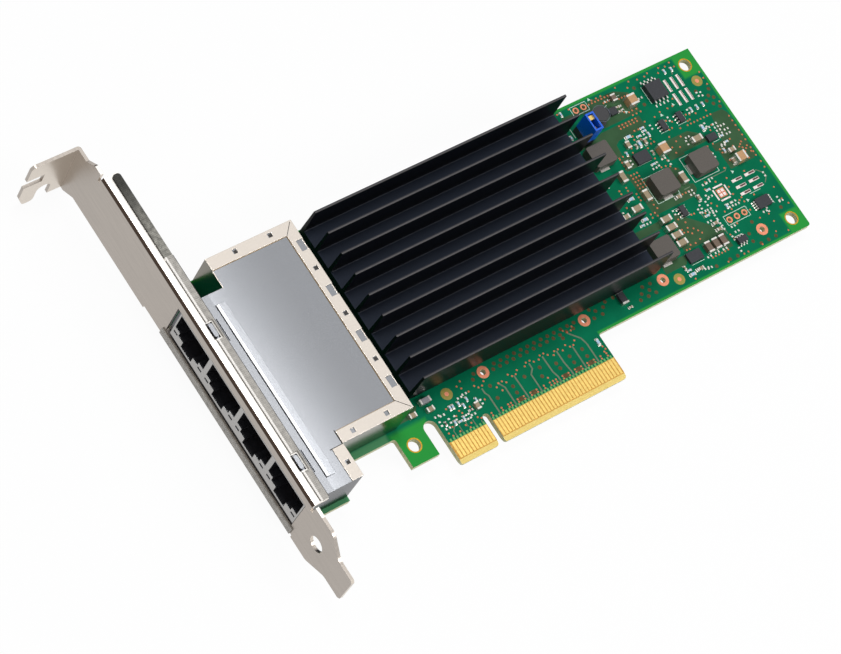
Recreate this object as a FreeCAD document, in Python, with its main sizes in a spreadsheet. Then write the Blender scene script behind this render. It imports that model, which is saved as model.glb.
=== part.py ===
# Four-port network interface card: low-profile circuit board, full-height slot bracket,
# shielded four-port jack, finned heatsink and the power parts at the tail.
# Units are millimetres.  X runs from the bracket to the tail, Y from the edge contacts to
# the board's far edge, Z up from the component side.  The origin is on the centre line of
# the key notch, at the tips of the edge contacts, in the middle plane of the board.
import FreeCAD, Part
import os

import Sketcher
from FreeCAD import Placement, Rotation, Vector

doc = FreeCAD.newDocument("NetworkCard")

# ---------------------------------------------------------------- driving dimensions
DIMENSIONS = {
    # circuit board
    "board_thick": 1.57, "board_tail": 110.7, "board_margin": 0.6, "board_gap": 1.24,
    "tail_edge": 12.75, "front_edge": 4.75, "front_edge_gap": 0.2, "corner_round": 0.7,
    "mount_tab_width": 7.9, "mount_tab_bottom": 4.65, "mount_hole_inset": 3.5,
    "mount_hole_level": 9.3, "mount_hole_bore": 3.2, "relief_width": 3.65, "relief_top": 13.0,
    "key_width": 1.9, "key_top": 8.25, "bevel_height": 1.5, "bevel_tip": 0.66,
    "corner_hole_bore": 3.2, "corner_hole_inset": 3.75,
    "tooling_hole_bore": 1.5, "tooling_hole_level": 17.4,
    "header_hole_bore": 1.0, "header_pitch": 2.54,
    # edge contacts
    "contact_pitch": 1.0, "contact_width": 0.7, "contact_inset": 0.55, "short_margin": 0.9,
    "long_margin": 0.75, "contact_low": 1.5, "contact_high": 5.8, "contact_thick": 0.05,
    # slot bracket
    "bracket_sheet": 0.86, "bracket_face": -59.3, "bracket_low": -1.75, "edge_rise": 0.47,
    "bracket_end": -14.5, "tab_level": 104.66, "tab_reach": 12.6, "tab_low": -4.0,
    "tab_high": 14.2, "prong_drop": 0.6, "screw_notch_width": 3.9, "screw_notch_depth": 5.5,
    "screw_notch_inset": 3.9, "guide_slot_width": 3.3, "guide_slot_depth": 5.0,
    "guide_slot_level": 6.3, "tongue_low": 1.7, "tongue_width": 10.2,
    "tongue_hole_level": -1.9, "tongue_hole_side": 7.2, "tongue_hole_bore": 4.4,
    "flange_lead": 1.6, "flange_inset": 9.46, "flange_reach": 4.4, "flange_gap": 2.04,
    "flange_relief": 0.8, "flange_relief_drop": 2.2, "bend_round": 1.0, "strip_notch": 0.9,
    "opening_side_gap": 0.1, "opening_end_gap": 1.4, "opening_low_gap": 1.0,
    "opening_top_gap": 0.1,
    # four-port jack
    "port_width": 12.0, "port_wall": 1.37, "end_wall": 0.45, "port_height": 5.65,
    "latch_wide": 8.2, "latch_step": 1.3, "latch_narrow": 4.3, "latch_drop": 2.05,
    "port_depth": 13.5, "port_back": 3.0, "port_lip": 0.4, "nose_drop": 0.3, "nose_sill": 0.7,
    "jack_gap": 0.14, "jack_low": 5.9, "jack_shoulder": 1.3, "jack_top": 13.3,
    "step_overlap": 4.1, "rear_length": 20.6, "rear_shift": 8.85, "rear_reach": 7.9,
    "shield_sheet": 0.25, "flap_width": 3.2, "mitre_gap": 0.2,
    "ridge_inset": 8.2, "ridge_width": 2.8, "ridge_height": 0.5,
    "clip_inset": 2.8, "clip_length": 3.6, "clip_thick": 1.1, "clip_low": 8.9,
    "clip_high": 7.8, "clip_gap": 0.35, "clip_stand": 0.45,
    "wire": 0.45, "wire_pitch": 1.02, "pin_side": 0.5, "pin_gap": 0.1,
    # gaskets
    "gasket_thick": 0.5, "gasket_inset": 2.3, "gasket_split": 2.8, "strip_gasket": 0.4,
    # heatsink and what it cools
    "sink_left": -16.4, "sink_right": 62.1, "sink_low": 19.15, "sink_margin": 1.11,
    "fin_count": 9, "fin_root": 1.0, "fin_crest": 0.6, "fin_height": 8.5, "end_draft": 0.55,
    "sink_base": 2.4, "boss_diameter": 5.5, "boss_inset": 5.5,
    "screw_shank": 2.5, "screw_head": 4.6, "screw_head_height": 1.5, "screw_bite": 1.6,
    "screw_gap": 0.4, "chip_height": 1.8, "pad_thick": 0.315, "controller_side": 31.0,
    "bridge_side": 23.0, "controller_place": 12.0, "bridge_place": 43.5, "chip_row": 43.4,
    # parts at the tail
    "inductor_length": 6.5, "inductor_width": 6.1, "inductor_height": 3.0,
    "terminal_reach": 0.6, "terminal_width": 2.8, "terminal_thick": 0.2,
    "drum_base": 5.0, "drum_top": 4.2, "drum_height": 3.5,
    "jumper_width": 2.6, "jumper_length": 5.1, "jumper_height": 6.0, "jumper_wall": 0.45,
    "header_body": 2.5, "header_pin": 0.64, "pin_stub": 1.3,
}

sheet = doc.addObject("Spreadsheet::Sheet", "Dimensions")
for row, (name, size) in enumerate(DIMENSIONS.items(), 1):
    sheet.set(f"A{row}", name)
    sheet.set(f"B{row}", str(size))
    sheet.setAlias(f"B{row}", name)
doc.recompute()

NODES = []


def size_of(name):
    """The value of one driving dimension, as the sheet holds it."""
    return float(sheet.get(name))


# ---------------------------------------------------------------- places that follow
D = "Dimensions."
BOARD = f"{D}board_thick / 2"
SKIN = f"{D}shield_sheet"

# The two tongues are as wide as their contacts need, on each side of the key notch.
SHORT_COUNT, LONG_COUNT = 11, 38
KEY_LEFT, KEY_RIGHT = f"-{D}key_width / 2", f"{D}key_width / 2"
SHORT_END = f"({KEY_LEFT} - {D}contact_inset - {SHORT_COUNT - 1} * {D}contact_pitch)"
LONG_END = f"({KEY_RIGHT} + {D}contact_inset + {LONG_COUNT - 1} * {D}contact_pitch)"
SHORT_LEFT = f"({SHORT_END} - {D}short_margin)"
LONG_RIGHT = f"({LONG_END} + {D}long_margin)"
TAB_RIGHT = f"({SHORT_LEFT} - {D}relief_width)"
TAB_LEFT = f"({TAB_RIGHT} - {D}mount_tab_width)"

# The jack along Y: four mouths in the nose, a wider front block, and the rear block.
PORT_COUNT = 4
PORT_PITCH = f"({D}port_width + {D}port_wall)"
NOSE_HIGH = (f"({D}jack_low + 2 * {D}end_wall + {PORT_COUNT} * {D}port_width"
             f" + {PORT_COUNT - 1} * {D}port_wall)")
JACK_HIGH = f"({NOSE_HIGH} + {D}jack_shoulder)"
REAR_LOW = f"({D}jack_low + {D}rear_shift)"
REAR_HIGH = f"({JACK_HIGH} + {D}rear_reach)"
PORTS = [f"({D}jack_low + {D}end_wall + {D}port_width / 2 + {index} * {PORT_PITCH})"
         for index in range(PORT_COUNT)]

# The jack along X, from the bracket's outer face to its rear wall.
FACE = f"{D}bracket_face"
JACK_FRONT = f"({FACE} + {D}bracket_sheet + {D}jack_gap)"
PORT_BACK = f"({FACE} + {D}port_depth)"
JACK_STEP = f"({PORT_BACK} + {D}port_back)"
REAR_FRONT = f"({JACK_STEP} - {D}step_overlap)"
JACK_REAR = f"({JACK_STEP} + {D}rear_length)"

# The jack along Z, from its roof down to the foot of the mouths.
NOSE_TOP = f"({D}jack_top - {D}nose_drop)"
PORT_TOP = f"({NOSE_TOP} - {D}port_lip)"
PORT_FLOOR = f"({PORT_TOP} - {D}port_height)"
LATCH_SHELF = f"({PORT_FLOOR} - {D}latch_step)"
LATCH_FLOOR = f"({LATCH_SHELF} - {D}latch_drop)"
NOSE_BOTTOM = f"({LATCH_FLOOR} - {D}nose_sill)"
PLATE_FLOOR = f"({D}jack_top - {SKIN})"

# The board's upper edge stands just beyond the jack, and the bracket goes round both.
BOARD_TOP = f"({REAR_HIGH} + {D}board_margin)"
BOARD_FRONT = f"({FACE} + {D}bracket_sheet + {D}board_gap)"
FLANGE_TOP = f"({D}jack_top + {D}flange_gap + {D}bracket_sheet)"
FLANGE_LOW = f"({D}jack_low - {D}flange_lead)"
FLANGE_HIGH = f"({D}tab_level - {D}flange_inset)"
BRACKET_HIGH = f"({FLANGE_TOP} + {D}edge_rise)"
OPENING_BOTTOM = f"({NOSE_BOTTOM} - {D}opening_low_gap)"
STRIP_FLOOR = f"({D}bracket_low + {D}strip_notch)"

# The heatsink stands on its pads over the chips, and its fins share its width evenly.
CHIP_TOP = f"({BOARD} + {D}chip_height)"
SINK_BOTTOM = f"({CHIP_TOP} + {D}pad_thick)"
SINK_FLOOR = f"({SINK_BOTTOM} + {D}sink_base)"
FIN_TIP = f"({SINK_FLOOR} + {D}fin_height)"
SINK_HIGH = f"({BOARD_TOP} - {D}sink_margin)"
FIN_PITCH = f"(({SINK_HIGH} - {D}sink_low - {D}fin_root) / ({D}fin_count - 1))"

# Places of the four tooling holes along the row above the edge contacts.
TOOLING_HOLES = (6.07, 38.0, 63.76, 97.4)
# The two unused header footprints: first hole, row, number of holes.
HEADERS = ((90.8, 23.4, 3), (70.9, 66.35, 2))
# The jumper's header stands here with its two pins along Y.
JUMPER_PLACE = (67.9, 59.35)
# Rows of solder pins below the jack, as distances from its rear face.
PIN_ROWS = (4.0, 6.6, 15.0)
PINS_PER_ROW = 12
# Corners of the bracket's foot along Y, where it leans in to the tongue and back.
FOOT_BENDS = {"low_out": -2.0, "low_in": -8.0, "high_in": -8.6, "high_out": -3.6}


# ---------------------------------------------------------------- construction helpers
def node(item, label):
    item.Label = label
    NODES.append(item)
    return item


def origin_plane(body, role):
    return [part for part in body.Origin.OriginFeatures if part.Role == role][0]


def sketch_on(body, role, name, offset="0"):
    """An empty sketch on one of the body's own origin planes, shifted along its normal."""
    sketch = body.newObject("Sketcher::SketchObject", name)
    sketch.AttachmentSupport = [(origin_plane(body, role), "")]
    sketch.MapMode = "FlatFace"
    sketch.setExpression("AttachmentOffset.Base.z", offset)
    return sketch


def pin_points(sketch, pins):
    """Hold sketch points at pairs of expressions, measured from the sketch's origin."""
    kinds = ("DistanceX", "DistanceY")
    wanted = [Sketcher.Constraint(kind, -1, 1, geometry, point, 1.0)
              for geometry, point, _place in pins for kind in kinds]
    indices = sketch.addConstraint(wanted)
    texts = [text for _geometry, _point, place in pins for text in place]
    for index, text in zip(indices, texts):
        sketch.setExpression(f"Constraints[{index}]", text)


def draw_outline(sketch, corners):
    """A closed outline of straight lines through corners given as pairs of expressions."""
    count = len(corners)
    first = sketch.GeometryCount
    turn = 360.0 / count
    spots = [Rotation(Vector(0, 0, 1), index * turn).multVec(Vector(40, 0, 0))
             for index in range(count)]
    sketch.addGeometry([Part.LineSegment(spots[index], spots[(index + 1) % count])
                        for index in range(count)])
    sketch.addConstraint([Sketcher.Constraint("Coincident", first + index, 2,
                                              first + (index + 1) % count, 1)
                          for index in range(count)])
    pin_points(sketch, [(first + index, 1, corner) for index, corner in enumerate(corners)])


def draw_circle(sketch, across, up, diameter):
    circle = sketch.addGeometry(Part.Circle(Vector(1, 1, 0), Vector(0, 0, 1), 1.0))
    pin_points(sketch, [(circle, 3, (across, up))])
    index = sketch.addConstraint(Sketcher.Constraint("Diameter", circle, 2.0))
    sketch.setExpression(f"Constraints[{index}]", diameter)


def rectangle(left, low, right, high):
    return [(left, low), (right, low), (right, high), (left, high)]


def pad(body, sketch, name, length, backwards=False):
    feature = body.newObject("PartDesign::Pad", name)
    feature.Profile = sketch
    feature.Reversed = backwards
    feature.setExpression("Length", length)
    return feature


def pocket(body, sketch, name, length=None, backwards=False):
    feature = body.newObject("PartDesign::Pocket", name)
    feature.Profile = sketch
    feature.Reversed = backwards
    if length is None:
        feature.Type = "ThroughAll"
        feature.Midplane = True
    else:
        feature.setExpression("Length", length)
    return feature


def repeat_along_y(body, feature, count, pitch):
    """Copies of one feature in a row along +Y."""
    doc.recompute()
    row = body.newObject("PartDesign::LinearPattern", feature.Name + "Row")
    row.Originals = [feature]
    row.Direction = (origin_plane(body, "Y_Axis"), [""])
    row.Occurrences = count
    row.setExpression("Length", f"{count - 1} * {pitch}")
    body.Tip = row
    return row


def dress(body, kind, name, radius, wanted):
    """A fillet or chamfer on the edges of the present tip that 'wanted' picks."""
    doc.recompute()
    base = body.Tip
    edges = [f"Edge{index}" for index, edge in enumerate(base.Shape.Edges, 1)
             if wanted(edge)]
    if not edges:
        raise RuntimeError(f"{name}: no edge was picked")
    feature = body.newObject(f"PartDesign::{kind}", name)
    feature.Base = (base, edges)
    feature.setExpression("Radius" if kind == "Fillet" else "Size", radius)
    return feature


def along(edge, axis):
    """True where the edge is a straight run parallel to one axis."""
    if len(edge.Vertexes) != 2:
        return False
    run = edge.Vertexes[1].Point - edge.Vertexes[0].Point
    return run.Length > 0 and abs(abs(run.dot(axis)) - run.Length) < 1e-6


def near(value, target):
    return abs(value - target) < 1e-4


X_AXIS, Y_AXIS, Z_AXIS = Vector(1, 0, 0), Vector(0, 1, 0), Vector(0, 0, 1)


def block(name, size, corner):
    """A Part::Box whose three sizes and corner are expressions."""
    box = doc.addObject("Part::Box", name)
    for path, text in zip(("Length", "Width", "Height"), size):
        box.setExpression(path, text)
    for path, text in zip("xyz", corner):
        box.setExpression(f"Placement.Base.{path}", text)
    return box


def post(name, radius, height, foot):
    """An upright Part::Cylinder whose sizes and foot are expressions."""
    round_post = doc.addObject("Part::Cylinder", name)
    round_post.setExpression("Radius", radius)
    round_post.setExpression("Height", height)
    for path, text in zip("xyz", foot):
        round_post.setExpression(f"Placement.Base.{path}", text)
    return round_post


def group(label, members):
    """Several separate solids that share one node."""
    compound = doc.addObject("Part::Compound", label)
    compound.Links = members
    return node(compound, label)


def fuse(name, members):
    union = doc.addObject("Part::MultiFuse", name)
    union.Shapes = members
    union.Refine = True
    return union


def cut(name, base, tool):
    difference = doc.addObject("Part::Cut", name)
    difference.Base = base
    difference.Tool = tool
    return difference


# ---------------------------------------------------------------- circuit board
def sink_screw_places():
    """The four screws stand the same inset from the heatsink's ends and long sides."""
    low = f"{D}sink_low + {D}boss_inset"
    high = f"{SINK_HIGH} - {D}boss_inset"
    left = f"{D}sink_left + {D}boss_inset"
    right = f"{D}sink_right - {D}boss_inset"
    return [(left, low), (right, low), (right, high), (left, high)]


def jack_pin_rows():
    """The first pin of each row below the jack, and the pitch along a row."""
    pitch = f"({REAR_HIGH} - {REAR_LOW}) / {PINS_PER_ROW}"
    return [(f"{JACK_REAR} - {row}", f"{REAR_LOW} + {pitch} / 2") for row in PIN_ROWS], pitch


def jumper_pin_places():
    """The two pins of the jumper's header, one pitch apart."""
    across, middle = JUMPER_PLACE
    return [(f"{across}", f"{middle} {side} {D}header_pitch / 2") for side in ("-", "+")]


def square_at(across, up, side):
    """A square outline about a centre."""
    half = f"({side}) / 2"
    return rectangle(f"{across} - {half}", f"{up} - {half}", f"{across} + {half}",
                     f"{up} + {half}")


def make_board():
    body = doc.addObject("PartDesign::Body", "CircuitBoard")
    outline = sketch_on(body, "XY_Plane", "BoardOutline", f"-{BOARD}")
    front_end = f"{JACK_STEP} + {D}front_edge_gap"
    draw_outline(outline, [
        (BOARD_FRONT, f"{D}front_edge"), (front_end, f"{D}front_edge"),
        (front_end, f"{D}tail_edge"), (TAB_LEFT, f"{D}tail_edge"),
        (TAB_LEFT, f"{D}mount_tab_bottom"), (TAB_RIGHT, f"{D}mount_tab_bottom"),
        (TAB_RIGHT, f"{D}relief_top"), (SHORT_LEFT, f"{D}relief_top"),
        (SHORT_LEFT, "0"), (KEY_LEFT, "0"), (KEY_LEFT, f"{D}key_top"),
        (KEY_RIGHT, f"{D}key_top"), (KEY_RIGHT, "0"), (LONG_RIGHT, "0"),
        (LONG_RIGHT, f"{D}tail_edge"), (f"{D}board_tail", f"{D}tail_edge"),
        (f"{D}board_tail", BOARD_TOP), (BOARD_FRONT, BOARD_TOP)])
    pad(body, outline, "BoardSheet", f"{D}board_thick")

    # The tips of the two contact tongues are bevelled on both faces.
    bevels = sketch_on(body, "YZ_Plane", "TipBevels")
    for side in ("", "-"):
        draw_outline(bevels, [
            ("-1", f"{side}({BOARD} + 1)"), (f"{D}bevel_height", f"{side}({BOARD} + 1)"),
            (f"{D}bevel_height", f"{side}{BOARD}"), ("0", f"{side}{D}bevel_tip / 2"),
            ("-1", f"{side}{D}bevel_tip / 2")])
    pocket(body, bevels, "TipBevelCut")

    def upright(edge):
        return along(edge, Z_AXIS)

    def at_tip(edge):
        return upright(edge) and near(edge.CenterOfMass.y, 0)

    def at_relief_top(edge):
        return upright(edge) and near(edge.CenterOfMass.y, size_of("relief_top"))

    def at_key_top(edge):
        return upright(edge) and near(edge.CenterOfMass.y, size_of("key_top"))

    def at_inner_corner(edge):
        return upright(edge) and near(edge.CenterOfMass.y, size_of("tail_edge"))

    dress(body, "Fillet", "TongueCorners", f"{D}corner_round", at_tip)
    dress(body, "Fillet", "ReliefRound",
          f"{D}relief_width / 2 - 0.01", at_relief_top)
    dress(body, "Fillet", "KeyRound", f"{D}key_width / 2 - 0.01", at_key_top)
    dress(body, "Fillet", "InnerCorners", f"{D}corner_round", at_inner_corner)

    holes = sketch_on(body, "XY_Plane", "BoardHoles")
    draw_circle(holes, f"{TAB_LEFT} + {D}mount_hole_inset", f"{D}mount_hole_level",
                f"{D}mount_hole_bore")
    corner = f"{D}board_tail - {D}corner_hole_inset"
    for level in (f"{D}tail_edge + {D}corner_hole_inset",
                  f"{BOARD_TOP} - {D}corner_hole_inset"):
        draw_circle(holes, corner, level, f"{D}corner_hole_bore")
    for place in TOOLING_HOLES:
        draw_circle(holes, f"{place}", f"{D}tooling_hole_level", f"{D}tooling_hole_bore")
    for first, row, count in HEADERS:
        for index in range(count):
            draw_circle(holes, f"{first} + {index} * {D}header_pitch", f"{row}",
                        f"{D}header_hole_bore")
    for across, up in sink_screw_places():
        draw_circle(holes, across, up, f"{D}screw_shank + {D}screw_gap")
    pocket(body, holes, "BoardHoleCut")

    # Solder fills the drillings round the pins, so that only the pins' own squares pass.
    header_holes = sketch_on(body, "XY_Plane", "HeaderPinHoles")
    for across, up in jumper_pin_places():
        draw_outline(header_holes, square_at(across, up, f"{D}header_pin + {D}pin_gap"))
    pocket(body, header_holes, "HeaderPinHoleCut")
    rows, pitch = jack_pin_rows()
    pin_holes = sketch_on(body, "XY_Plane", "JackPinHoles")
    for across, up in rows:
        draw_outline(pin_holes, square_at(across, up, f"{D}pin_side + {D}pin_gap"))
    repeat_along_y(body, pocket(body, pin_holes, "JackPinHoleCut"), PINS_PER_ROW, pitch)
    return node(body, "circuit_board")


def make_edge_contacts():
    """Eleven contacts on the short tongue and thirty-eight on the long one, both faces."""
    size = (f"{D}contact_width", f"{D}contact_high - {D}contact_low", f"{D}contact_thick")
    levels = (BOARD, f"-{BOARD} - {D}contact_thick")
    contacts = []
    first_long = f"{KEY_RIGHT} + {D}contact_inset"
    for start, count in ((SHORT_END, SHORT_COUNT), (first_long, LONG_COUNT)):
        for index in range(count):
            left = f"{start} + {index} * {D}contact_pitch - {D}contact_width / 2"
            for level in levels:
                contacts.append(block("EdgeContact", size, (left, f"{D}contact_low", level)))
    return group("edge_contacts", contacts)


# ---------------------------------------------------------------- slot bracket
def make_bracket():
    body = doc.addObject("PartDesign::Body", "SlotBracket")
    plate = sketch_on(body, "YZ_Plane", "PlateOutline", FACE)
    top = f"{D}tab_level + {D}bracket_sheet"
    strip_high = f"{BOARD_TOP} - 0.1"
    tongue_high = f"{D}tongue_low + {D}tongue_width"
    relief = f"{FLANGE_TOP} - {D}flange_relief_drop"
    low_end, high_end = f"{FLANGE_LOW} - {D}flange_relief", f"{FLANGE_HIGH} + {D}flange_relief"
    foot = {name: f"{level}" for name, level in FOOT_BENDS.items()}
    draw_outline(plate, [
        (top, f"{D}tab_low"), (f"{D}tab_level - 1", f"{D}tab_low"),
        (f"{D}tab_level - 4.5", f"{D}bracket_low"), (strip_high, f"{D}bracket_low"),
        (strip_high, STRIP_FLOOR), (FLANGE_LOW, STRIP_FLOOR), (FLANGE_LOW, f"{D}bracket_low"),
        (foot["low_out"], f"{D}bracket_low"), (foot["low_in"], f"{D}tongue_low"),
        (f"{D}bracket_end", f"{D}tongue_low"), (f"{D}bracket_end", tongue_high),
        (foot["high_in"], tongue_high), (foot["high_out"], BRACKET_HIGH),
        (low_end, BRACKET_HIGH), (low_end, relief), (FLANGE_LOW, relief),
        (FLANGE_LOW, FLANGE_TOP), (FLANGE_HIGH, FLANGE_TOP), (FLANGE_HIGH, relief),
        (high_end, relief), (high_end, BRACKET_HIGH),
        (f"{FLANGE_HIGH} + 3.2", BRACKET_HIGH), (f"{D}tab_level - 3.4", f"{D}tab_high"),
        (top, f"{D}tab_high")])
    pad(body, plate, "Plate", f"{D}bracket_sheet")

    flange = sketch_on(body, "XY_Plane", "FlangeOutline", f"{FLANGE_TOP} - {D}bracket_sheet")
    draw_outline(flange, rectangle(FACE, FLANGE_LOW, f"{FACE} + {D}flange_reach", FLANGE_HIGH))
    pad(body, flange, "Flange", f"{D}bracket_sheet")

    clip_slots = sketch_on(body, "XY_Plane", "ClipSlots", FLANGE_TOP)
    for middle in clip_middles():
        clip_outline(clip_slots, middle, f"{D}clip_gap")
    pocket(body, clip_slots, "ClipSlotCut", f"{D}bracket_sheet")

    # The screw tab stands out from the plate and has its notch on the solder side.
    tab = sketch_on(body, "XZ_Plane", "TabOutline", f"-{D}tab_level")
    end = f"{FACE} - {D}tab_reach"
    prong = f"{D}tab_low - {D}prong_drop"
    notch_right = f"{FACE} - {D}screw_notch_inset"
    notch_left = f"{notch_right} - {D}screw_notch_width"
    notch_top = f"{D}tab_low + {D}screw_notch_depth"
    slot_low = f"{D}guide_slot_level - {D}guide_slot_width / 2"
    slot_high = f"{D}guide_slot_level + {D}guide_slot_width / 2"
    draw_outline(tab, [
        (f"{FACE} + {D}bracket_sheet", f"{D}tab_low"),
        (notch_right, f"{D}tab_low"), (notch_right, notch_top), (notch_left, notch_top),
        (notch_left, prong), (f"{end} + 1.9", prong),
        (end, f"{D}tab_low + 3.6"), (end, slot_low), (f"{end} + {D}guide_slot_depth", slot_low),
        (f"{end} + {D}guide_slot_depth", slot_high), (end, slot_high),
        (end, f"{D}tab_high"), (f"{FACE} + {D}bracket_sheet", f"{D}tab_high")])
    pad(body, tab, "ScrewTab", f"{D}bracket_sheet", backwards=True)

    windows = sketch_on(body, "YZ_Plane", "PlateWindows")
    draw_outline(windows, rectangle(
        f"{D}jack_low - {D}opening_side_gap", OPENING_BOTTOM,
        f"{NOSE_HIGH} + {D}opening_end_gap", f"{NOSE_TOP} + {D}opening_top_gap"))
    draw_circle(windows, f"{D}tongue_hole_level", f"{D}tongue_hole_side",
                f"{D}tongue_hole_bore")
    pocket(body, windows, "PlateWindowCut")

    face = size_of("bracket_face")
    sheet_thick = size_of("bracket_sheet")
    tab_floor = size_of("tab_low")

    def tongue_bends(edge):
        level = edge.CenterOfMass.y
        return along(edge, X_AXIS) and any(near(level, bend) for bend in FOOT_BENDS.values())

    def outer_bends(edge):
        spot = edge.CenterOfMass
        along_flange = (along(edge, Y_AXIS) and near(spot.x, face)
                        and spot.z > size_of("jack_top")
                        and edge.Length > size_of("tab_level") / 2)
        along_tab = (along(edge, Z_AXIS) and near(spot.x, face + sheet_thick)
                     and near(spot.y, size_of("tab_level") + sheet_thick))
        return along_flange or along_tab

    def notch_rounds(edge):
        notch_level = tab_floor + size_of("screw_notch_depth")
        return along(edge, Y_AXIS) and near(edge.CenterOfMass.z, notch_level)

    def prong_rounds(edge):
        spot = edge.CenterOfMass
        tab_end = face - size_of("tab_reach")
        outer = near(spot.x, tab_end) and spot.z > size_of("tab_high") - 0.1
        prong_levels = (tab_floor - size_of("prong_drop"), tab_floor + 3.6)
        return along(edge, Y_AXIS) and (outer or any(near(spot.z, level)
                                                     for level in prong_levels))

    def tongue_corners(edge):
        return along(edge, X_AXIS) and near(edge.CenterOfMass.y, size_of("bracket_end"))

    dress(body, "Fillet", "TongueBends", "2.8", tongue_bends)
    dress(body, "Fillet", "OuterBends", f"{D}bend_round - 0.15", outer_bends)
    dress(body, "Fillet", "NotchRound", f"{D}screw_notch_width / 2 - 0.05", notch_rounds)
    dress(body, "Fillet", "ProngRounds", "1.2", prong_rounds)
    dress(body, "Chamfer", "TongueCorners", "0.7", tongue_corners)
    return node(body, "io_bracket")


def clip_middles():
    """The two clips' middles along Y, one near each end of the nose."""
    return [f"({D}jack_low + {D}clip_low)", f"({NOSE_HIGH} - {D}clip_high)"]


def clip_outline(sketch, middle, grow):
    """The plan of one clip, enlarged by a clearance."""
    half_thick = f"({D}clip_thick / 2 + {grow})"
    half_long = f"({D}clip_length / 2 + {grow})"
    place = f"{FACE} + {D}clip_inset"
    draw_outline(sketch, rectangle(f"{place} - {half_thick}", f"{middle} - {half_long}",
                                   f"{place} + {half_thick}", f"{middle} + {half_long}"))


def make_gaskets():
    """Conductive strips: two on the flange and one below the opening, on the outer face."""
    left = f"{FACE} + {D}gasket_inset"
    wide = f"{D}flange_reach - {D}gasket_inset"
    split = f"({BOARD_TOP} + {D}gasket_split)"
    upper = block("UpperGasket", (wide, f"{FLANGE_HIGH} - {split} - 0.4", f"{D}gasket_thick"),
                  (left, split, FLANGE_TOP))
    rounded = doc.addObject("Part::Fillet", "UpperGasketEnd")
    rounded.Base = upper
    doc.recompute()
    middle = upper.Shape.CenterOfMass.y
    rounded.Edges = [(index, 0.8, 0.8) for index, edge in enumerate(upper.Shape.Edges, 1)
                     if along(edge, Z_AXIS) and edge.CenterOfMass.y > middle]
    node(rounded, "upper_gasket")
    body = doc.addObject("PartDesign::Body", "JackGasket")
    pad_box(body, "GasketStrip", (left, f"{FLANGE_LOW} + 0.2", FLANGE_TOP),
            (f"{left} + {wide}", split, f"{FLANGE_TOP} + {D}gasket_thick"))
    notches = sketch_on(body, "XY_Plane", "ClipNotches", FLANGE_TOP)
    for place in clip_middles():
        clip_outline(notches, place, f"2 * {D}clip_gap")
    pocket(body, notches, "ClipNotchCut", f"{D}gasket_thick", backwards=True)
    node(body, "jack_gasket")
    lower = block("LowerGasket",
                  (f"{D}strip_gasket", f"{JACK_HIGH} - {FLANGE_LOW} + 0.4",
                   f"{OPENING_BOTTOM} - {STRIP_FLOOR} - 0.5"),
                  (f"{FACE} - {D}strip_gasket", f"{FLANGE_LOW} + 0.6", STRIP_FLOOR))
    node(lower, "lower_gasket")


# ---------------------------------------------------------------- four-port jack
def port_profile(centre):
    """The stepped mouth of one port: the plug's space above, then its latch's two steps."""
    steps = [(f"{D}port_width / 2", PORT_TOP, PORT_FLOOR),
             (f"{D}latch_wide / 2", PORT_FLOOR, LATCH_SHELF),
             (f"{D}latch_narrow / 2", LATCH_SHELF, LATCH_FLOOR)]
    right, left = [], []
    for half, top, floor in steps:
        for level in (top, floor):
            right.append((f"{centre} + {half}", level))
            left.append((f"{centre} - {half}", level))
    return right + left[::-1]


def cut_ports(body, name):
    """Cut all four mouths inwards from the bracket's outer face."""
    mouths = sketch_on(body, "YZ_Plane", name, FACE)
    for centre in PORTS:
        draw_outline(mouths, port_profile(centre))
    pocket(body, mouths, name + "Cut", f"{D}port_depth", backwards=True)


def pad_box(body, name, low, high):
    """A rectangular pad between two corners, each of three expressions."""
    base = sketch_on(body, "XY_Plane", name, low[2])
    draw_outline(base, rectangle(low[0], low[1], high[0], high[1]))
    return pad(body, base, name + "Pad", f"{high[2]} - ({low[2]})")


def pocket_box(body, name, low, high):
    """A rectangular pocket between two corners; it is cut upwards from the lower one."""
    base = sketch_on(body, "XY_Plane", name, low[2])
    draw_outline(base, rectangle(low[0], low[1], high[0], high[1]))
    return pocket(body, base, name + "Cut", f"{high[2]} - ({low[2]})", backwards=True)


def make_jack_housing():
    """The moulded block inside the shield, with the four cavities."""
    body = doc.addObject("PartDesign::Body", "JackHousing")
    pad_box(body, "FrontBlock",
            (f"{JACK_FRONT} + {SKIN}", f"{D}jack_low + {SKIN}", BOARD),
            (f"{JACK_STEP} - {SKIN}", f"{JACK_HIGH} - {SKIN}", PLATE_FLOOR))
    pad_box(body, "RearBlock",
            (f"{REAR_FRONT} + {SKIN}", f"{REAR_LOW} + {SKIN}", BOARD),
            (f"{JACK_REAR} - {SKIN}", f"{REAR_HIGH} - {SKIN}", PLATE_FLOOR))
    pad_box(body, "Nose",
            (f"{FACE} + {SKIN}", f"{D}jack_low + {SKIN}", f"{NOSE_BOTTOM} + {SKIN}"),
            (f"{JACK_FRONT} + {SKIN}", f"{NOSE_HIGH} - {SKIN}", f"{NOSE_TOP} - {SKIN} / 4"))
    cut_ports(body, "Cavities")
    return node(body, "jack_housing")


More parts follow.
